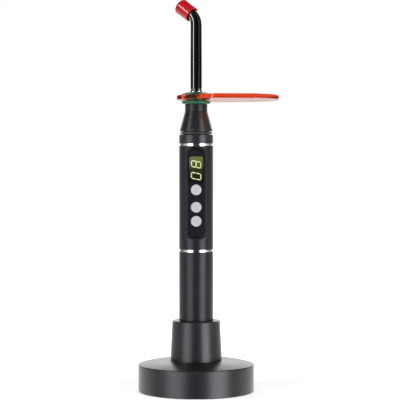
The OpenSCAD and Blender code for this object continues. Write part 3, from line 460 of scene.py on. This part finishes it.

# %% [markdown]
# ### Orange shield
#
# The shield is clear orange plastic that keeps the blue light from the eyes. Most of its colour sits
# on the surface, and a volume that absorbs light makes it deeper where the eye looks through more of
# it. Light travels inside the plate and leaves at the edge, and a faint emission over the whole plate
# paints that glow.

# %% Orange shield
def shield_orange():
    material, tree, skin = new_finish(
        "shield_orange", Transmission_Weight=1.0, IOR=1.49, Emission_Strength=0.04)
    smudges = use(tree, SMUDGES, Clean=0.0, Smudged=0.03)
    cloudy = use(tree, SATIN_GRAIN, Size=3.0)
    tone = mix_colour(tree, cloudy["Shade"], (0.68, 0.22, 0.1, 1), (0.73, 0.25, 0.115, 1))
    # A faint emission over the whole plate: a painted glow for the light the plate carries to its edge.
    glow = mix_colour(tree, cloudy["Shade"], (0.8, 0.05, 0.01, 1), (0.9, 0.07, 0.014, 1))
    wire(tree, skin, Base_Color=tone, Roughness=smudges["Roughness"], Emission_Color=glow)
    inside = {"Color": (0.96, 0.7, 0.59, 1), "Density": 100.0}
    depth = place(tree, "VolumeAbsorption", inside).outputs[0]
    tree.links.new(depth, tree.nodes["Material Output"].inputs["Volume"])
    return material


shield_finish = shield_orange()
print(shield_finish.name, "waits for the plate")

# %% [markdown]
# ### Silicone and rubber
#
# The cap and the shield's ring are moulded silicone, and the sealing rings and the foot are black
# rubber. Silicone lets a little light in below its surface, but these walls are strongly dyed, and
# subsurface scattering would only add noise here. A low index of refraction and a moulded skin do.

# %% Silicone and rubber
def silicone(name, deep, pale, grain, gloss, matt, relief):
    material, tree, skin = new_finish(name, IOR=1.4)
    moulded = use(tree, MOULDED_SKIN, Size=grain, Gloss=gloss, Matt=matt)
    tone = mix_colour(tree, moulded["Shade"], deep, pale)
    wire_surface(tree, skin, tone, moulded["Roughness"], moulded["Height"], relief, 0.02)
    return material


def rubber(name, dark, pale, gloss, matt, relief):
    material, tree, skin = new_finish(name, IOR=1.5)
    moulded = use(tree, MOULDED_SKIN, Size=0.3, Gloss=gloss, Matt=matt)
    tone = mix_colour(tree, moulded["Shade"], grey(dark), grey(pale))
    wire_surface(tree, skin, tone, moulded["Roughness"], moulded["Height"], relief, 0.04)
    return material


cap_finish = silicone(
    "cap_red",
    deep=(0.38, 0.0035, 0.008, 1),
    pale=(0.48, 0.006, 0.012, 1),
    grain=1.5,
    gloss=0.06,
    matt=0.12,
    relief=0.01,
)
ring_finish = silicone(
    "ring_green",
    deep=(0.006, 0.08, 0.034, 1),
    pale=(0.012, 0.115, 0.05, 1),
    grain=0.25,
    gloss=0.35,
    matt=0.5,
    relief=0.03,
)
seal_finish = rubber("seal_rubber", dark=0.018, pale=0.028, gloss=0.3, matt=0.4, relief=0.05)
foot_finish = rubber("foot_rubber", dark=0.01, pale=0.02, gloss=0.5, matt=0.7, relief=0.25)
for finish in (cap_finish, ring_finish, seal_finish, foot_finish):
    print(finish.name, "waits for its piece")

# %% [markdown]
# ### Circuit boards
#
# Some pieces show only when the pen is lifted or the cap is off, and some never do. They still get
# their own finish, so that a cutaway or an exploded picture of the part can use them. The boards are
# lacquered green. A brick texture draws the traces and a Voronoi texture the round pads, which are
# bare metal.

# %% Circuit boards
def circuit_board():
    material, tree, skin = new_finish("circuit_board", IOR=1.5, Coat_Weight=0.5)
    where = millimetres(tree)
    traces = {"Vector": where, "Scale": 0.35, "Mortar Size": 0.03, "Mortar": grey(1)}
    lines = place(tree, "TexBrick", traces).outputs[1]
    holes = place(tree, "TexVoronoi", {"Vector": where, "Scale": 0.28}).outputs[0]
    pads = fade(tree, holes, 0.12, 0.16, 1.0, 0.0)
    cloudy = noise(tree, where, 0.6, 3.0)
    lacquer = mix_colour(tree, cloudy, (0.008, 0.09, 0.03, 1), (0.012, 0.13, 0.045, 1))
    lacquer = mix_colour(tree, lines, lacquer, (0.03, 0.24, 0.09, 1))
    tone = mix_colour(tree, pads, lacquer, (0.72, 0.6, 0.3, 1))
    wire_surface(tree, skin, tone, fade(tree, lines, 0.0, 1.0, 0.28, 0.4), lines, 0.2, 0.05)
    wire(tree, skin, Metallic=pads)
    return material


dress(circuit_board(), "charger_board", "control_board")

# %% [markdown]
# ### Moulded black pieces and the inlet
#
# Chips, switches, the buzzer and the bottom plate are plain black mouldings. The power inlet is one
# too, with a bright pin in its middle. The pin could be a second material slot, but the distance from
# the inlet's axis picks it out just as well and leaves the CAD piece as it is.

# %% Moulded black pieces
def component_black():
    material, tree, skin = new_finish("component_black", IOR=1.5)
    moulded = use(tree, MOULDED_SKIN, Size=0.15, Gloss=0.42, Matt=0.6)
    tone = mix_colour(tree, moulded["Shade"], grey(0.012), grey(0.024))
    wire_surface(tree, skin, tone, moulded["Roughness"], moulded["Height"], 0.15, 0.03)
    return material


dress(component_black(), "bottom_plate", "tact_switches", "board_chips", "buzzer")

# %% Power inlet
PIN_R = 1.1


def inlet_black():
    material, tree, skin = new_finish("inlet_black", IOR=1.5)
    low, high = (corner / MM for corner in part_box("dc_jack"))
    from_axis = axis_distance(tree, (0, 0, (low.z + high.z) / 2), "Y")
    pin = fade(tree, from_axis, PIN_R - 0.05, PIN_R + 0.05, 1.0, 0.0)
    moulded = use(tree, MOULDED_SKIN, Size=0.15, Gloss=0.4, Matt=0.55)
    plastic = mix_colour(tree, moulded["Shade"], grey(0.01), grey(0.02))
    tone = mix_colour(tree, pin, plastic, (0.75, 0.74, 0.7, 1))
    gloss = place(tree, "Mix", {0: pin, 2: moulded["Roughness"], 3: 0.2}).outputs[0]
    wire_surface(tree, skin, tone, gloss, moulded["Height"], 0.1, 0.03)
    wire(tree, skin, Metallic=pin)
    return material


dress(inlet_black(), "dc_jack")

# %% [markdown]
# ### Nylon insulators
#
# The plugs that hold the charging contacts are natural nylon, off white and a little cloudy. Thin
# nylon lets light in below its surface, so this finish has some subsurface scattering.

# %% Nylon insulators
def insulator():
    material, tree, skin = new_finish(
        "insulator", IOR=1.5, Subsurface_Weight=0.1, Subsurface_Scale=0.002)
    moulded = use(tree, MOULDED_SKIN, Size=0.2, Gloss=0.35, Matt=0.5)
    tone = mix_colour(tree, moulded["Shade"], (0.66, 0.63, 0.54, 1), (0.76, 0.74, 0.66, 1))
    wire_surface(tree, skin, tone, moulded["Roughness"], moulded["Height"], 0.08, 0.03)
    return material


dress(insulator(), "contact_carrier", "tail_plug", "contact_disc")

# %% [markdown]
# ### Bare metals
#
# Pins and contacts are brass, nuts and screws steel, the heat sink aluminium and the ballast rough
# cast iron. All are made by turning or casting, so one function builds them from the shared grain,
# rings and rubbed edges, and only colour, gloss and relief differ.

# %% Bare metals
def bare_metal(name, dark, pale, gloss, matt, relief):
    material, tree, skin = new_finish(name, Metallic=1.0)
    grain = use(tree, SATIN_GRAIN, Size=0.2, Gloss=gloss, Matt=matt)
    rings = use(tree, TURNED_RINGS, Pitch=0.12)
    paler_edges = use(tree, EDGE_MASK, Width=0.15, Spread=0.6)["Mask"]
    tone = mix_colour(tree, rings["Shade"], mix_colour(tree, grain["Shade"], dark, pale), pale)
    tone = mix_colour(tree, paler_edges, tone, grey(0.9))
    wire_surface(tree, skin, tone, grain["Roughness"], rings["Height"], relief, 0.02)
    return material


brass = bare_metal("brass", (0.56, 0.36, 0.12, 1), (0.74, 0.52, 0.22, 1), 0.18, 0.32, 0.15)
steel = bare_metal("steel", (0.42, 0.43, 0.44, 1), (0.56, 0.57, 0.58, 1), 0.22, 0.36, 0.15)
aluminium = bare_metal("bare_aluminium", (0.62, 0.63, 0.65, 1), (0.76, 0.77, 0.78, 1), 0.28, 0.42, 0.2)
iron = bare_metal("ballast_iron", (0.09, 0.088, 0.085, 1), (0.17, 0.16, 0.15, 1), 0.5, 0.7, 0.4)
dress(brass, "charge_pin_centre", "charge_pin_outer")
dress(brass, "tail_contact_pad", "tail_contact_ring", "positive_contact")
dress(steel, "socket_nut", "jack_nut", "bottom_screws", "board_screws")
dress(aluminium, "heat_sink", "led_board")
dress(iron, "ballast_ring")

# %% [markdown]
# ### Cell, leads and lamp
#
# The cell wears a shrunk blue sleeve with a pale band and a bare top. Of each pair of leads one is
# red and one black. The lamp's chip is yellow phosphor on white ceramic. Heights and distances in
# millimetres part these colours, so no piece needs to be cut up.

# %% Cell
BARE_TOP = 1.5
BAND_DROP = 12
BAND_HALF = 1.5


def cell_can():
    material, tree, skin = new_finish("cell_can", IOR=1.5)
    low, high = (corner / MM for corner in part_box("battery_cell"))
    up = place(tree, "SeparateXYZ", {0: millimetres(tree)}).outputs[2]
    bare = fade(tree, up, high.z - BARE_TOP - 0.1, high.z - BARE_TOP + 0.1)
    wrinkles = use(tree, SMUDGES, Clean=0.22, Smudged=0.36)
    grain = use(tree, SATIN_GRAIN, Size=0.4)
    sleeve = mix_colour(tree, grain["Shade"], (0.03, 0.13, 0.36, 1), (0.045, 0.17, 0.44, 1))
    from_band = calc(tree, "ABSOLUTE", calc(tree, "SUBTRACT", up, high.z - BAND_DROP))
    band = fade(tree, from_band, BAND_HALF - 0.1, BAND_HALF + 0.1, 1.0, 0.0)
    sleeve = mix_colour(tree, band, sleeve, (0.75, 0.76, 0.78, 1))
    tone = mix_colour(tree, bare, sleeve, (0.6, 0.61, 0.62, 1))
    wire_surface(tree, skin, tone, wrinkles["Roughness"], wrinkles["Height"], 0.2, 0.1)
    wire(tree, skin, Metallic=bare)
    return material


dress(cell_can(), "battery_cell")


# %% Leads
def lead_sleeve():
    material, tree, skin = new_finish("lead_sleeve", IOR=1.5)
    moulded = use(tree, MOULDED_SKIN, Size=0.3, Gloss=0.35, Matt=0.5)
    red_side = fade(tree, place(tree, "SeparateXYZ", {0: millimetres(tree)}).outputs[0], -1.0, 1.0)
    black = mix_colour(tree, moulded["Shade"], grey(0.01), grey(0.02))
    red = mix_colour(tree, moulded["Shade"], (0.4, 0.012, 0.01, 1), (0.52, 0.02, 0.015, 1))
    tone = mix_colour(tree, red_side, black, red)
    wire_surface(tree, skin, tone, moulded["Roughness"], moulded["Height"], 0.1, 0.03)
    return material


dress(lead_sleeve(), "jack_leads", "inner_leads")

# %% Lamp
CHIP_R = 1.85


def led_yellow():
    material, tree, skin = new_finish("led_yellow", IOR=1.5, Coat_Weight=0.5)
    from_axis = axis_distance(tree)
    powder = noise(tree, millimetres(tree), 6.0, 3.0)
    phosphor = mix_colour(tree, powder, (0.72, 0.55, 0.06, 1), (0.86, 0.7, 0.14, 1))
    ceramic = mix_colour(tree, powder, grey(0.7), grey(0.8))
    outside = fade(tree, from_axis, CHIP_R - 0.05, CHIP_R + 0.05)
    tone = mix_colour(tree, outside, phosphor, ceramic)
    wire(tree, skin, Base_Color=tone, Roughness=fade(tree, powder, 0.3, 0.7, 0.25, 0.45))
    return material


dress(led_yellow(), "led_emitter")

# %% [markdown]
# ## Turned soft pieces
#
# Moulded silicone and rubber have no sharp corners, and rings are round however close the camera
# comes. So these pieces are turned from an outline whose corners are rounded one by one. A bevel
# modifier could round them too, but it can't give each corner its own radius. A weighted normal
# modifier keeps the flat faces flat beside the fillets.

# %% Outline and mesh helpers
def rounded(corners, steps=6):
    """Closed outline through (radius, height, fillet) corners, each rounded by its own fillet."""
    points = []
    for index, (radius, height, fillet) in enumerate(corners):
        here = Vector((radius, height))
        if not fillet:
            points.append(here)
            continue
        back = (Vector(corners[index - 1][:2]) - here).normalized()
        ahead = (Vector(corners[(index + 1) % len(corners)][:2]) - here).normalized()
        half = back.angle(ahead) / 2
        centre = here + (back + ahead).normalized() * fillet / math.sin(half)
        start = here + back * fillet / math.tan(half) - centre
        end = here + ahead * fillet / math.tan(half) - centre
        swing = start.angle(end)
        for step in range(steps + 1):
            share = step / steps
            blend = start * math.sin((1 - share) * swing) + end * math.sin(share * swing)
            points.append(centre + blend / math.sin(swing))
    return points


def stitched(name, loops, closed, material):
    """Mesh object from loops of points in millimetres that each join the next, round a closed piece."""
    shape = bmesh.new()
    rows = [[shape.verts.new(Vector(point) * MM) for point in loop] for loop in loops]
    count = len(rows[0])
    for index in range(len(rows) if closed else len(rows) - 1):
        first, second = rows[index], rows[(index + 1) % len(rows)]
        for k in range(count):
            shape.faces.new((first[k], first[(k + 1) % count], second[(k + 1) % count], second[k]))
    if not closed:
        shape.faces.new(rows[0])
        shape.faces.new(rows[-1])
    bmesh.ops.remove_doubles(shape, verts=shape.verts, dist=MM / 1000)
    bmesh.ops.recalc_face_normals(shape, faces=shape.faces)
    mesh = bpy.data.meshes.new(name)
    shape.to_mesh(mesh)
    shape.free()
    mesh.polygons.foreach_set("use_smooth", [True] * len(mesh.polygons))
    mesh.materials.append(material)
    made = bpy.data.objects.new(name, mesh)
    made.modifiers.new("even_normals", "WEIGHTED_NORMAL").keep_sharp = True
    scene.collection.objects.link(made)
    print(name, "faces:", len(mesh.polygons))
    return made


def turned(name, outline, material, segments=144):
    angles = [2 * math.pi * k / segments for k in range(segments)]
    loops = [[(x * math.cos(a), x * math.sin(a), z) for x, z in outline] for a in angles]
    return stitched(name, loops, True, material)


def stand_for(made, body, node):
    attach(made, body)
    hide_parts(node)


def ring_outline(mid_radius, height, section, steps=24):
    turns = [2 * math.pi * k / steps for k in range(steps)]
    return [(mid_radius + section * math.cos(t), height + section * math.sin(t)) for t in turns]


# %% [markdown]
# ### Red cap
#
# The cap is a soft cup over the guide's tip with a flared mouth and a rounded end. It is turned about
# the upright axis and then carried to the tip by the same bend and turn that the guide has, so that
# it stays in line with the joint that pulls it off.

# %% Red cap on the tip
GUIDE_BEND = math.radians(56.5)
GUIDE_TURN = math.radians(35)
BEND_START = Vector((-7.8, 0, 260.75)) * MM
CAP_START = 0.15 * MM
CAP_BORE_R = 3.98
CAP_BORE_END = 11.25
CAP_FLARE = 1.6
CAP_MOUTH_R = 4.88
CAP_FOOT_R = 5.6
CAP_TOP_R = 5.85
CAP_END = 12.45
cap_corners = [
    (0, CAP_BORE_END, 0),
    (CAP_BORE_R, CAP_BORE_END, 0.3),
    (CAP_BORE_R, CAP_FLARE, 0.8),
    (CAP_MOUTH_R, 0, 0.08),
    (CAP_FOOT_R, 0, 0.4),
    (CAP_TOP_R, CAP_END, 2),
    (0, CAP_END, 0),
]
cap = turned("soft_cap", rounded(cap_corners, 8), cap_finish)
bend = Matrix.Translation(BEND_START) @ Matrix.Rotation(-GUIDE_BEND, 4, "Y")
along_tip = bend @ Matrix.Translation((-BEND_START.x, 0, CAP_START))
cap.data.transform(Matrix.Rotation(-GUIDE_TURN, 4, "Z") @ along_tip)
stand_for(cap, "cap", "guide_cap")

# %% [markdown]
# ### Green ring
#
# The shield snaps into the groove of a rubber grommet that turns on the guide's foot. Its heights
# come from the box of the CAD piece, so the groove stays where the plate is. The lower flange is
# thick and round, and the upper one slopes up to the guide.

# %% Green ring that carries the shield
RING_BORE_R = 5.08
GROOVE_R = 6.65
LOWER_FLANGE_R = 10.1
LOWER_FLANGE = 2.3
UPPER_FLANGE_R = 9.9
UPPER_FLANGE = 2
UPPER_RIM = 0.82
RING_TOP_R = 5.9
ring_low, ring_high = (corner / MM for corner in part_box("shield_ring"))
foot = ring_low.z
top = ring_high.z
groove_foot = foot + LOWER_FLANGE
groove_top = top - UPPER_FLANGE
ring_corners = [
    (RING_BORE_R, foot, 0.2),
    (LOWER_FLANGE_R, foot, 0.9),
    (LOWER_FLANGE_R, groove_foot, 0.7),
    (GROOVE_R, groove_foot, 0.25),
    (GROOVE_R, groove_top, 0.25),
    (UPPER_FLANGE_R, groove_top, 0.4),
    (UPPER_FLANGE_R, groove_top + UPPER_RIM, 0.35),
    (RING_TOP_R, top, 0.5),
    (RING_BORE_R, top, 0.2),
]
ring = turned("shield_grommet", rounded(ring_corners), ring_finish)
stand_for(ring, "shield", "shield_ring")

# %% [markdown]
# ### Sealing rings
#
# A bead of black rubber shows between the collar and the nose, and a smaller ring inside grips the
# guide. Both are plain rings with a round section. A torus primitive would do as well, but a turned
# outline goes through the same helper as the other soft pieces.

# %% Seal bead and the guide's ring
for name, node, mid_radius, section in (
    ("seal_bead", "seal_ring", 10.35, 0.95),
    ("guide_grip_ring", "guide_o_ring", 5.73, 0.65),
):
    low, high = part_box(node)
    middle = (low.z + high.z) / 2 / MM
    bead = turned(name, ring_outline(mid_radius, middle, section), seal_finish)
    stand_for(bead, "pen", node)

# %% [markdown]
# ### Ribbed foot
#
# The stand rests on a soft disc with round grooves that grip the table. The grooves are real shape,
# because a bump would not change the outline of the foot in a cutaway. A loop adds four corners to
# the outline for each groove.

# %% Ribbed foot
FOOT_RADIUS = 36.7
FOOT_TOP = 1.2
GROOVE_PITCH = 3
GROOVE_HALF = 0.6
GROOVE_DEPTH = 0.5
GROOVE_FILLET = 0.1
OUTERMOST_GROOVE = 11
foot_corners = [(0, FOOT_TOP, 0), (FOOT_RADIUS, FOOT_TOP, 0.15), (FOOT_RADIUS, 0, 0.4)]
for groove in range(OUTERMOST_GROOVE, 1, -1):
    outer = groove * GROOVE_PITCH + GROOVE_HALF
    inner = groove * GROOVE_PITCH - GROOVE_HALF
    foot_corners.append((outer, 0, GROOVE_FILLET))
    foot_corners.append((outer, GROOVE_DEPTH, GROOVE_FILLET))
    foot_corners.append((inner, GROOVE_DEPTH, GROOVE_FILLET))
    foot_corners.append((inner, 0, GROOVE_FILLET))
foot_corners.append((0, 0, 0))
foot_piece = turned("ribbed_foot", rounded(foot_corners, 2), foot_finish)
stand_for(foot_piece, "stand", "foot_pad")

# %% [markdown]
# ## Springs
#
# A coil spring is one round wire along a helix. The CAD model keeps the wire six-sided to stay
# light. Here the same helix gets a round section and many more steps. The two pin springs are
# hung on the stand, so they keep their length when their pins move.

# %% Coil springs
WIRE_SIDES = 14
STEPS_PER_TURN = 40


def coil(name, node, radius, wire, turns):
    """Round wire along a helix whose axis stands on a whole tenth of a millimetre, at y = 0."""
    low, high = (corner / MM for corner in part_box(node))
    axis_x = round((low.x + high.x) / 2, 1)
    steps = turns * STEPS_PER_TURN
    loops = []
    for step in range(steps + 1):
        turn = 2 * math.pi * step / STEPS_PER_TURN
        height = low.z + wire / 2 + (high.z - low.z - wire) * step / steps
        loop = []
        for side in range(WIRE_SIDES):
            around = 2 * math.pi * side / WIRE_SIDES
            out = radius + wire / 2 * math.cos(around)
            up = height + wire / 2 * math.sin(around)
            loop.append((axis_x + out * math.cos(turn), out * math.sin(turn), up))
        loops.append(loop)
    return stitched(name, loops, False, steel)


# %% Springs under the pins and under the cell
PIN_SPRING = {"radius": 1.29, "wire": 0.4, "turns": 4}
CELL_SPRING = {"radius": 5, "wire": 0.9, "turns": 3}
for name, node, joint in (
    ("centre_pin_coil", "pin_spring_centre", "centre_pin_press"),
    ("outer_pin_coil", "pin_spring_outer", "outer_pin_press"),
):
    spring = coil(name, node, **PIN_SPRING)
    stand_for(spring, "stand", node)
    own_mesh(spring)
cell_coil = coil("battery_coil", "battery_spring", **CELL_SPRING)
stand_for(cell_coil, "pen", "battery_spring")

# %% [markdown]
# ## Shield plate
#
# The plate's outline is what a band would follow round four discs: one at the hole, two at the
# shoulders and a large one at the far end. For two discs the outer tangent's direction follows from
# their radii, so each disc gives one arc. Loops of the outline, drawn in little by little, make the
# rounded edge, and loops round the hole close the plate.

# %% Outline of the plate
# Each disc is given as x, y, radius and the number of steps in its arc
PLATE_DISCS = [(34, 0, 24.6, 44), (14, 20, 6, 14), (0, 0, 13.7, 30), (14, -20, 6, 14)]


def tangent_angle(first, second):
    run = Vector(second[:2]) - Vector(first[:2])
    return math.atan2(run.y, run.x) - math.acos((first[2] - second[2]) / run.length)


def plate_outline(inset):
    points = []
    for index, (x, y, radius, steps) in enumerate(PLATE_DISCS):
        start = tangent_angle(PLATE_DISCS[index - 1], PLATE_DISCS[index])
        end = tangent_angle(PLATE_DISCS[index], PLATE_DISCS[(index + 1) % len(PLATE_DISCS)])
        sweep = (end - start) % (2 * math.pi)
        reach = radius - inset
        for step in range(steps + 1):
            angle = start + sweep * step / steps
            points.append((x + reach * math.cos(angle), y + reach * math.sin(angle)))
    return points


print("points round the plate:", len(plate_outline(0)))

# %% Plate
PLATE_LEAN = 2.2
PLATE_HALF = 1.65
EDGE_R = 0.4
HOLE_R = 6.95
HOLE_EDGE = 0.2
FLAT_MARGIN = 0.6
edge_turns = [math.radians(15 * k) for k in range(7)]
profile = [(EDGE_R + FLAT_MARGIN, PLATE_HALF)]
profile += [(EDGE_R * (1 - math.sin(t)), PLATE_HALF - EDGE_R * (1 - math.cos(t))) for t in edge_turns]
profile += [(inset, -height) for inset, height in reversed(profile)]
loops = [[(x, y, height) for x, y in plate_outline(inset)] for inset, height in profile]
headings = [math.atan2(y, x) for x, y in plate_outline(0)]
for radius, height in (
    (HOLE_R + HOLE_EDGE + FLAT_MARGIN, -PLATE_HALF),
    (HOLE_R + HOLE_EDGE, -PLATE_HALF),
    (HOLE_R, -PLATE_HALF + HOLE_EDGE),
    (HOLE_R, PLATE_HALF - HOLE_EDGE),
    (HOLE_R + HOLE_EDGE, PLATE_HALF),
    (HOLE_R + HOLE_EDGE + FLAT_MARGIN, PLATE_HALF),
):
    loops.append([(radius * math.cos(a), radius * math.sin(a), height) for a in headings])
plate = stitched("clear_shield", loops, True, shield_finish)
plate_low, plate_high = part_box("shield_plate")
plate_mid = Matrix.Translation((0, 0, (plate_low.z + plate_high.z) / 2))
plate.data.transform(plate_mid @ Matrix.Rotation(math.radians(-PLATE_LEAN), 4, "X"))
stand_for(plate, "shield", "shield_plate")

# %% [markdown]
# ## Floor
#
# The object stands on a pale table that takes its shadow. To the camera the table also glows, faintly
# near the object and white further out, so that it melts into the background without more light on
# the object. Mirrors look past it to the soft boxes, which reach below its level.

# %% Floor
FLOOR_HALF = 4.0
GLOW_NEAR = 60
GLOW_FAR = 400
floor_mesh = bpy.data.meshes.new("floor")
floor_corners = [(x * FLOOR_HALF, y * FLOOR_HALF, 0) for x, y in ((-1, -1), (1, -1), (1, 1), (-1, 1))]
floor_mesh.from_pydata(floor_corners, [], [(0, 1, 2, 3)])
floor = bpy.data.objects.new("floor", floor_mesh)
floor.visible_glossy = False
floor.visible_shadow = False
scene.collection.objects.link(floor)


def pale_floor():
    material, tree, skin = new_finish("pale_floor", Roughness=0.9, Emission_Strength=1.0)
    cloudy = noise(tree, millimetres(tree), 0.01)
    tone = mix_colour(tree, cloudy, grey(0.88), grey(0.9))
    path = place(tree, "LightPath").outputs
    seen = calc(tree, "MAXIMUM", path["Is Camera Ray"], path["Is Transmission Ray"])
    far = fade(tree, axis_distance(tree), GLOW_NEAR, GLOW_FAR)
    glow = mix_colour(tree, far, grey(0.6), grey(1))
    wire(tree, skin, Base_Color=tone, Emission_Color=mix_colour(tree, seen, grey(0), glow))
    return material


floor_mesh.materials.append(pale_floor())
print("floor in metres:", 2 * FLOOR_HALF)

# %% [markdown]
# ## White surround
#
# A white room can be built from planes, but then its light and its reflections can't be set apart.
# The world does it with Light Path: the camera, and rays that go on through clear plastic, see plain
# white. Matt surfaces get a low level. Mirrors see walls whose level follows the azimuth, dark on the
# camera's side, with other levels below and above eye height, a pale table when they look down, and
# a bright back wall when they look up. Light from high on the right falls through the shield.

# %% Walls in the mirrors
DARK_SIDE = 0.04
LOW_WALLS = (
    (-180, 0.65), (-158, 1.2), (-138, 0.25), (-115, 0.1), (-60, 0.95), (-26, 1.0), (-16, DARK_SIDE),
    (17, DARK_SIDE), (29, 1.0), (66, 1.0), (95, 0.4), (138, 0.2), (152, 1.5), (180, 0.65),
)
HIGH_WALLS = (
    (-180, 0.14), (-158, 0.26), (-138, 0.06), (-115, 0.1), (-60, 0.2), (-26, 0.2), (-16, 0.0),
    (40, 0.0), (52, 0.35), (84, 0.35), (96, 0.0), (138, 0.0), (152, 0.3), (180, 0.14),
)
world = bpy.data.worlds.new("white_surround")
world.use_nodes = True
scene.world = world
tree = world.node_tree
background = tree.nodes["Background"]
toward = place(tree, "TexCoord").outputs["Generated"]
across, depth, up = place(tree, "SeparateXYZ", {0: toward}).outputs
azimuth_turn = calc(tree, "ARCTAN2", across, calc(tree, "MULTIPLY", depth, -1.0))
around = calc(tree, "ADD", calc(tree, "DIVIDE", azimuth_turn, 2 * math.pi), 0.5)


def wall_levels(stops):
    """Level of the walls round the object, given as stops of azimuth in degrees and level."""
    walls = place(tree, "FloatCurve", {"Value": around})
    walls.mapping.use_clip = False
    curve = walls.mapping.curves[0]
    for azimuth, level in stops[1:-1]:
        curve.points.new(azimuth / 360 + 0.5, level)
    curve.points[0].location = (0, stops[0][1])
    curve.points[-1].location = (1, stops[-1][1])
    for point in curve.points:
        point.handle_type = "VECTOR"
    walls.mapping.update()
    return walls.outputs[0]


low_walls = wall_levels(LOW_WALLS)
high_walls = wall_levels(HIGH_WALLS)
above_eye = fade(tree, up, 0.02, 0.033)
walls = place(tree, "Mix", {0: above_eye, 2: low_walls, 3: high_walls}).outputs[0]
print("stops in the walls:", len(LOW_WALLS), "and", len(HIGH_WALLS))

# %% Table, back wall and what each ray sees
SURROUND_ON_MATT = 0.12
TABLE = 2.2
BACK_WALL = 2.1
OVERHEAD = 3.0
looks_down = fade(tree, up, -0.165, -0.06, TABLE, 0.0)
table = calc(tree, "MULTIPLY", looks_down, fade(tree, depth, -0.2, 0.2))
looks_up = fade(tree, up, 0.04, 0.1, 0.0, BACK_WALL)
back_wall = calc(tree, "MULTIPLY", looks_up, fade(tree, depth, 0.55, 0.8))
in_mirrors = calc(tree, "ADD", calc(tree, "MAXIMUM", walls, table), back_wall)

path = place(tree, "LightPath").outputs
goes_on = calc(tree, "MAXIMUM", fade(tree, depth, 0.7, 0.92), fade(tree, up, 0.15, 0.3))
through = calc(tree, "MULTIPLY", path["Is Transmission Ray"], goes_on)
seen = calc(tree, "MAXIMUM", path["Is Camera Ray"], through)
from_high = fade(tree, up, 0.2, 0.3, 0.0, OVERHEAD - 1)
from_right = calc(tree, "MULTIPLY", from_high, fade(tree, across, 0.3, 0.6))
white = calc(tree, "MULTIPLY_ADD", from_right, through, 1.0)
level = fade(tree, seen, 0.0, 1.0, SURROUND_ON_MATT, white)
turned_back = calc(tree, "MAXIMUM", path["Is Glossy Ray"], path["Is Transmission Ray"])
is_mirror = calc(tree, "MULTIPLY", turned_back, calc(tree, "SUBTRACT", 1.0, seen))
strength = place(tree, "Mix", {0: is_mirror, 2: level, 3: in_mirrors}).outputs[0]
tree.links.new(strength, background.inputs["Strength"])
background.inputs["Color"].default_value = grey(1)
print("nodes in the surround:", len(tree.nodes))

# %% [markdown]
# ## Soft boxes
#
# Two tall boxes beside the camera draw the bright stripes on the tubes, and smaller ones above them
# draw those on the rod. Area lamps give them a soft edge and a true place. None is seen by the
# camera or through the shield. The ceiling box and the upper right one light matt surfaces but stay
# out of mirrors, where they would be spots on the cap and the rod. Light linking lets one warm box
# light only the nose, as light that has come through the shield does.

# %% Soft boxes
def beside(azimuth, height, distance):
    """Point at an angle from the camera's side, positive to the right, seen from the handle."""
    turn = math.radians(azimuth)
    return Vector((math.sin(turn) * distance, -math.cos(turn) * distance, height))


def soft_box(name, centre, aim, width, tall, radiance, in_mirrors=True):
    light = bpy.data.lights.new(name, "AREA")
    light.shape = "RECTANGLE"
    light.size = width
    light.size_y = tall
    light.energy = radiance * math.pi * width * tall
    lamp = bpy.data.objects.new(name, light)
    lamp.location = centre
    lamp.rotation_euler = (aim - centre).to_track_quat("-Z", "Y").to_euler()
    lamp.visible_camera = False
    lamp.visible_glossy = in_mirrors
    lamp.visible_transmission = False
    scene.collection.objects.link(lamp)
    print(name, "watts:", round(light.energy, 2))
    return lamp


# %% Boxes beside the camera
# Each box is given by azimuth, distance, lower and upper end, width, radiance and place in mirrors
for name, azimuth, distance, low, high, width, radiance, shown in (
    ("left_box", -41, 1.1, -0.35, 0.23, 0.65, 3.9, True),
    ("left_top_box", -57, 1.1, 0.232, 1.0, 0.18, 14.0, True),
    ("right_box", 45, 1.1, -0.35, 0.24, 0.66, 6.5, True),
    ("right_top_box", 45, 1.1, 0.5, 1.0, 0.42, 8.0, False),
    ("right_mid_box", 45, 1.05, 0.14, 0.238, 0.4, 6.0, True),
):
    middle = (low + high) / 2
    centre = beside(azimuth, middle, distance)
    soft_box(name, centre, Vector((0, 0, middle)), width, high - low, radiance, shown)

# %% Box for the nose and box on the ceiling
THROUGH_SHIELD = (1, 0.74, 0.6)
NOSE_AT = Vector((0, 0, 0.2))
nose_box = soft_box("nose_box", beside(47, 0.66, 1.1), NOSE_AT, 0.42, 0.45, 12.0)
nose_box.data.color = THROUGH_SHIELD
lit_by_nose_box = bpy.data.collections.new("lit_by_nose_box")
lit_by_nose_box.objects.link(nodes["nose_cone"])
nose_box.light_linking.receiver_collection = lit_by_nose_box
CEILING_AT = Vector((0, -0.35, 1.3))
STAND_AT = Vector((0, 0, 0.1))
soft_box("ceiling_box", CEILING_AT, STAND_AT, 1.0, 0.5, 2.0, False)
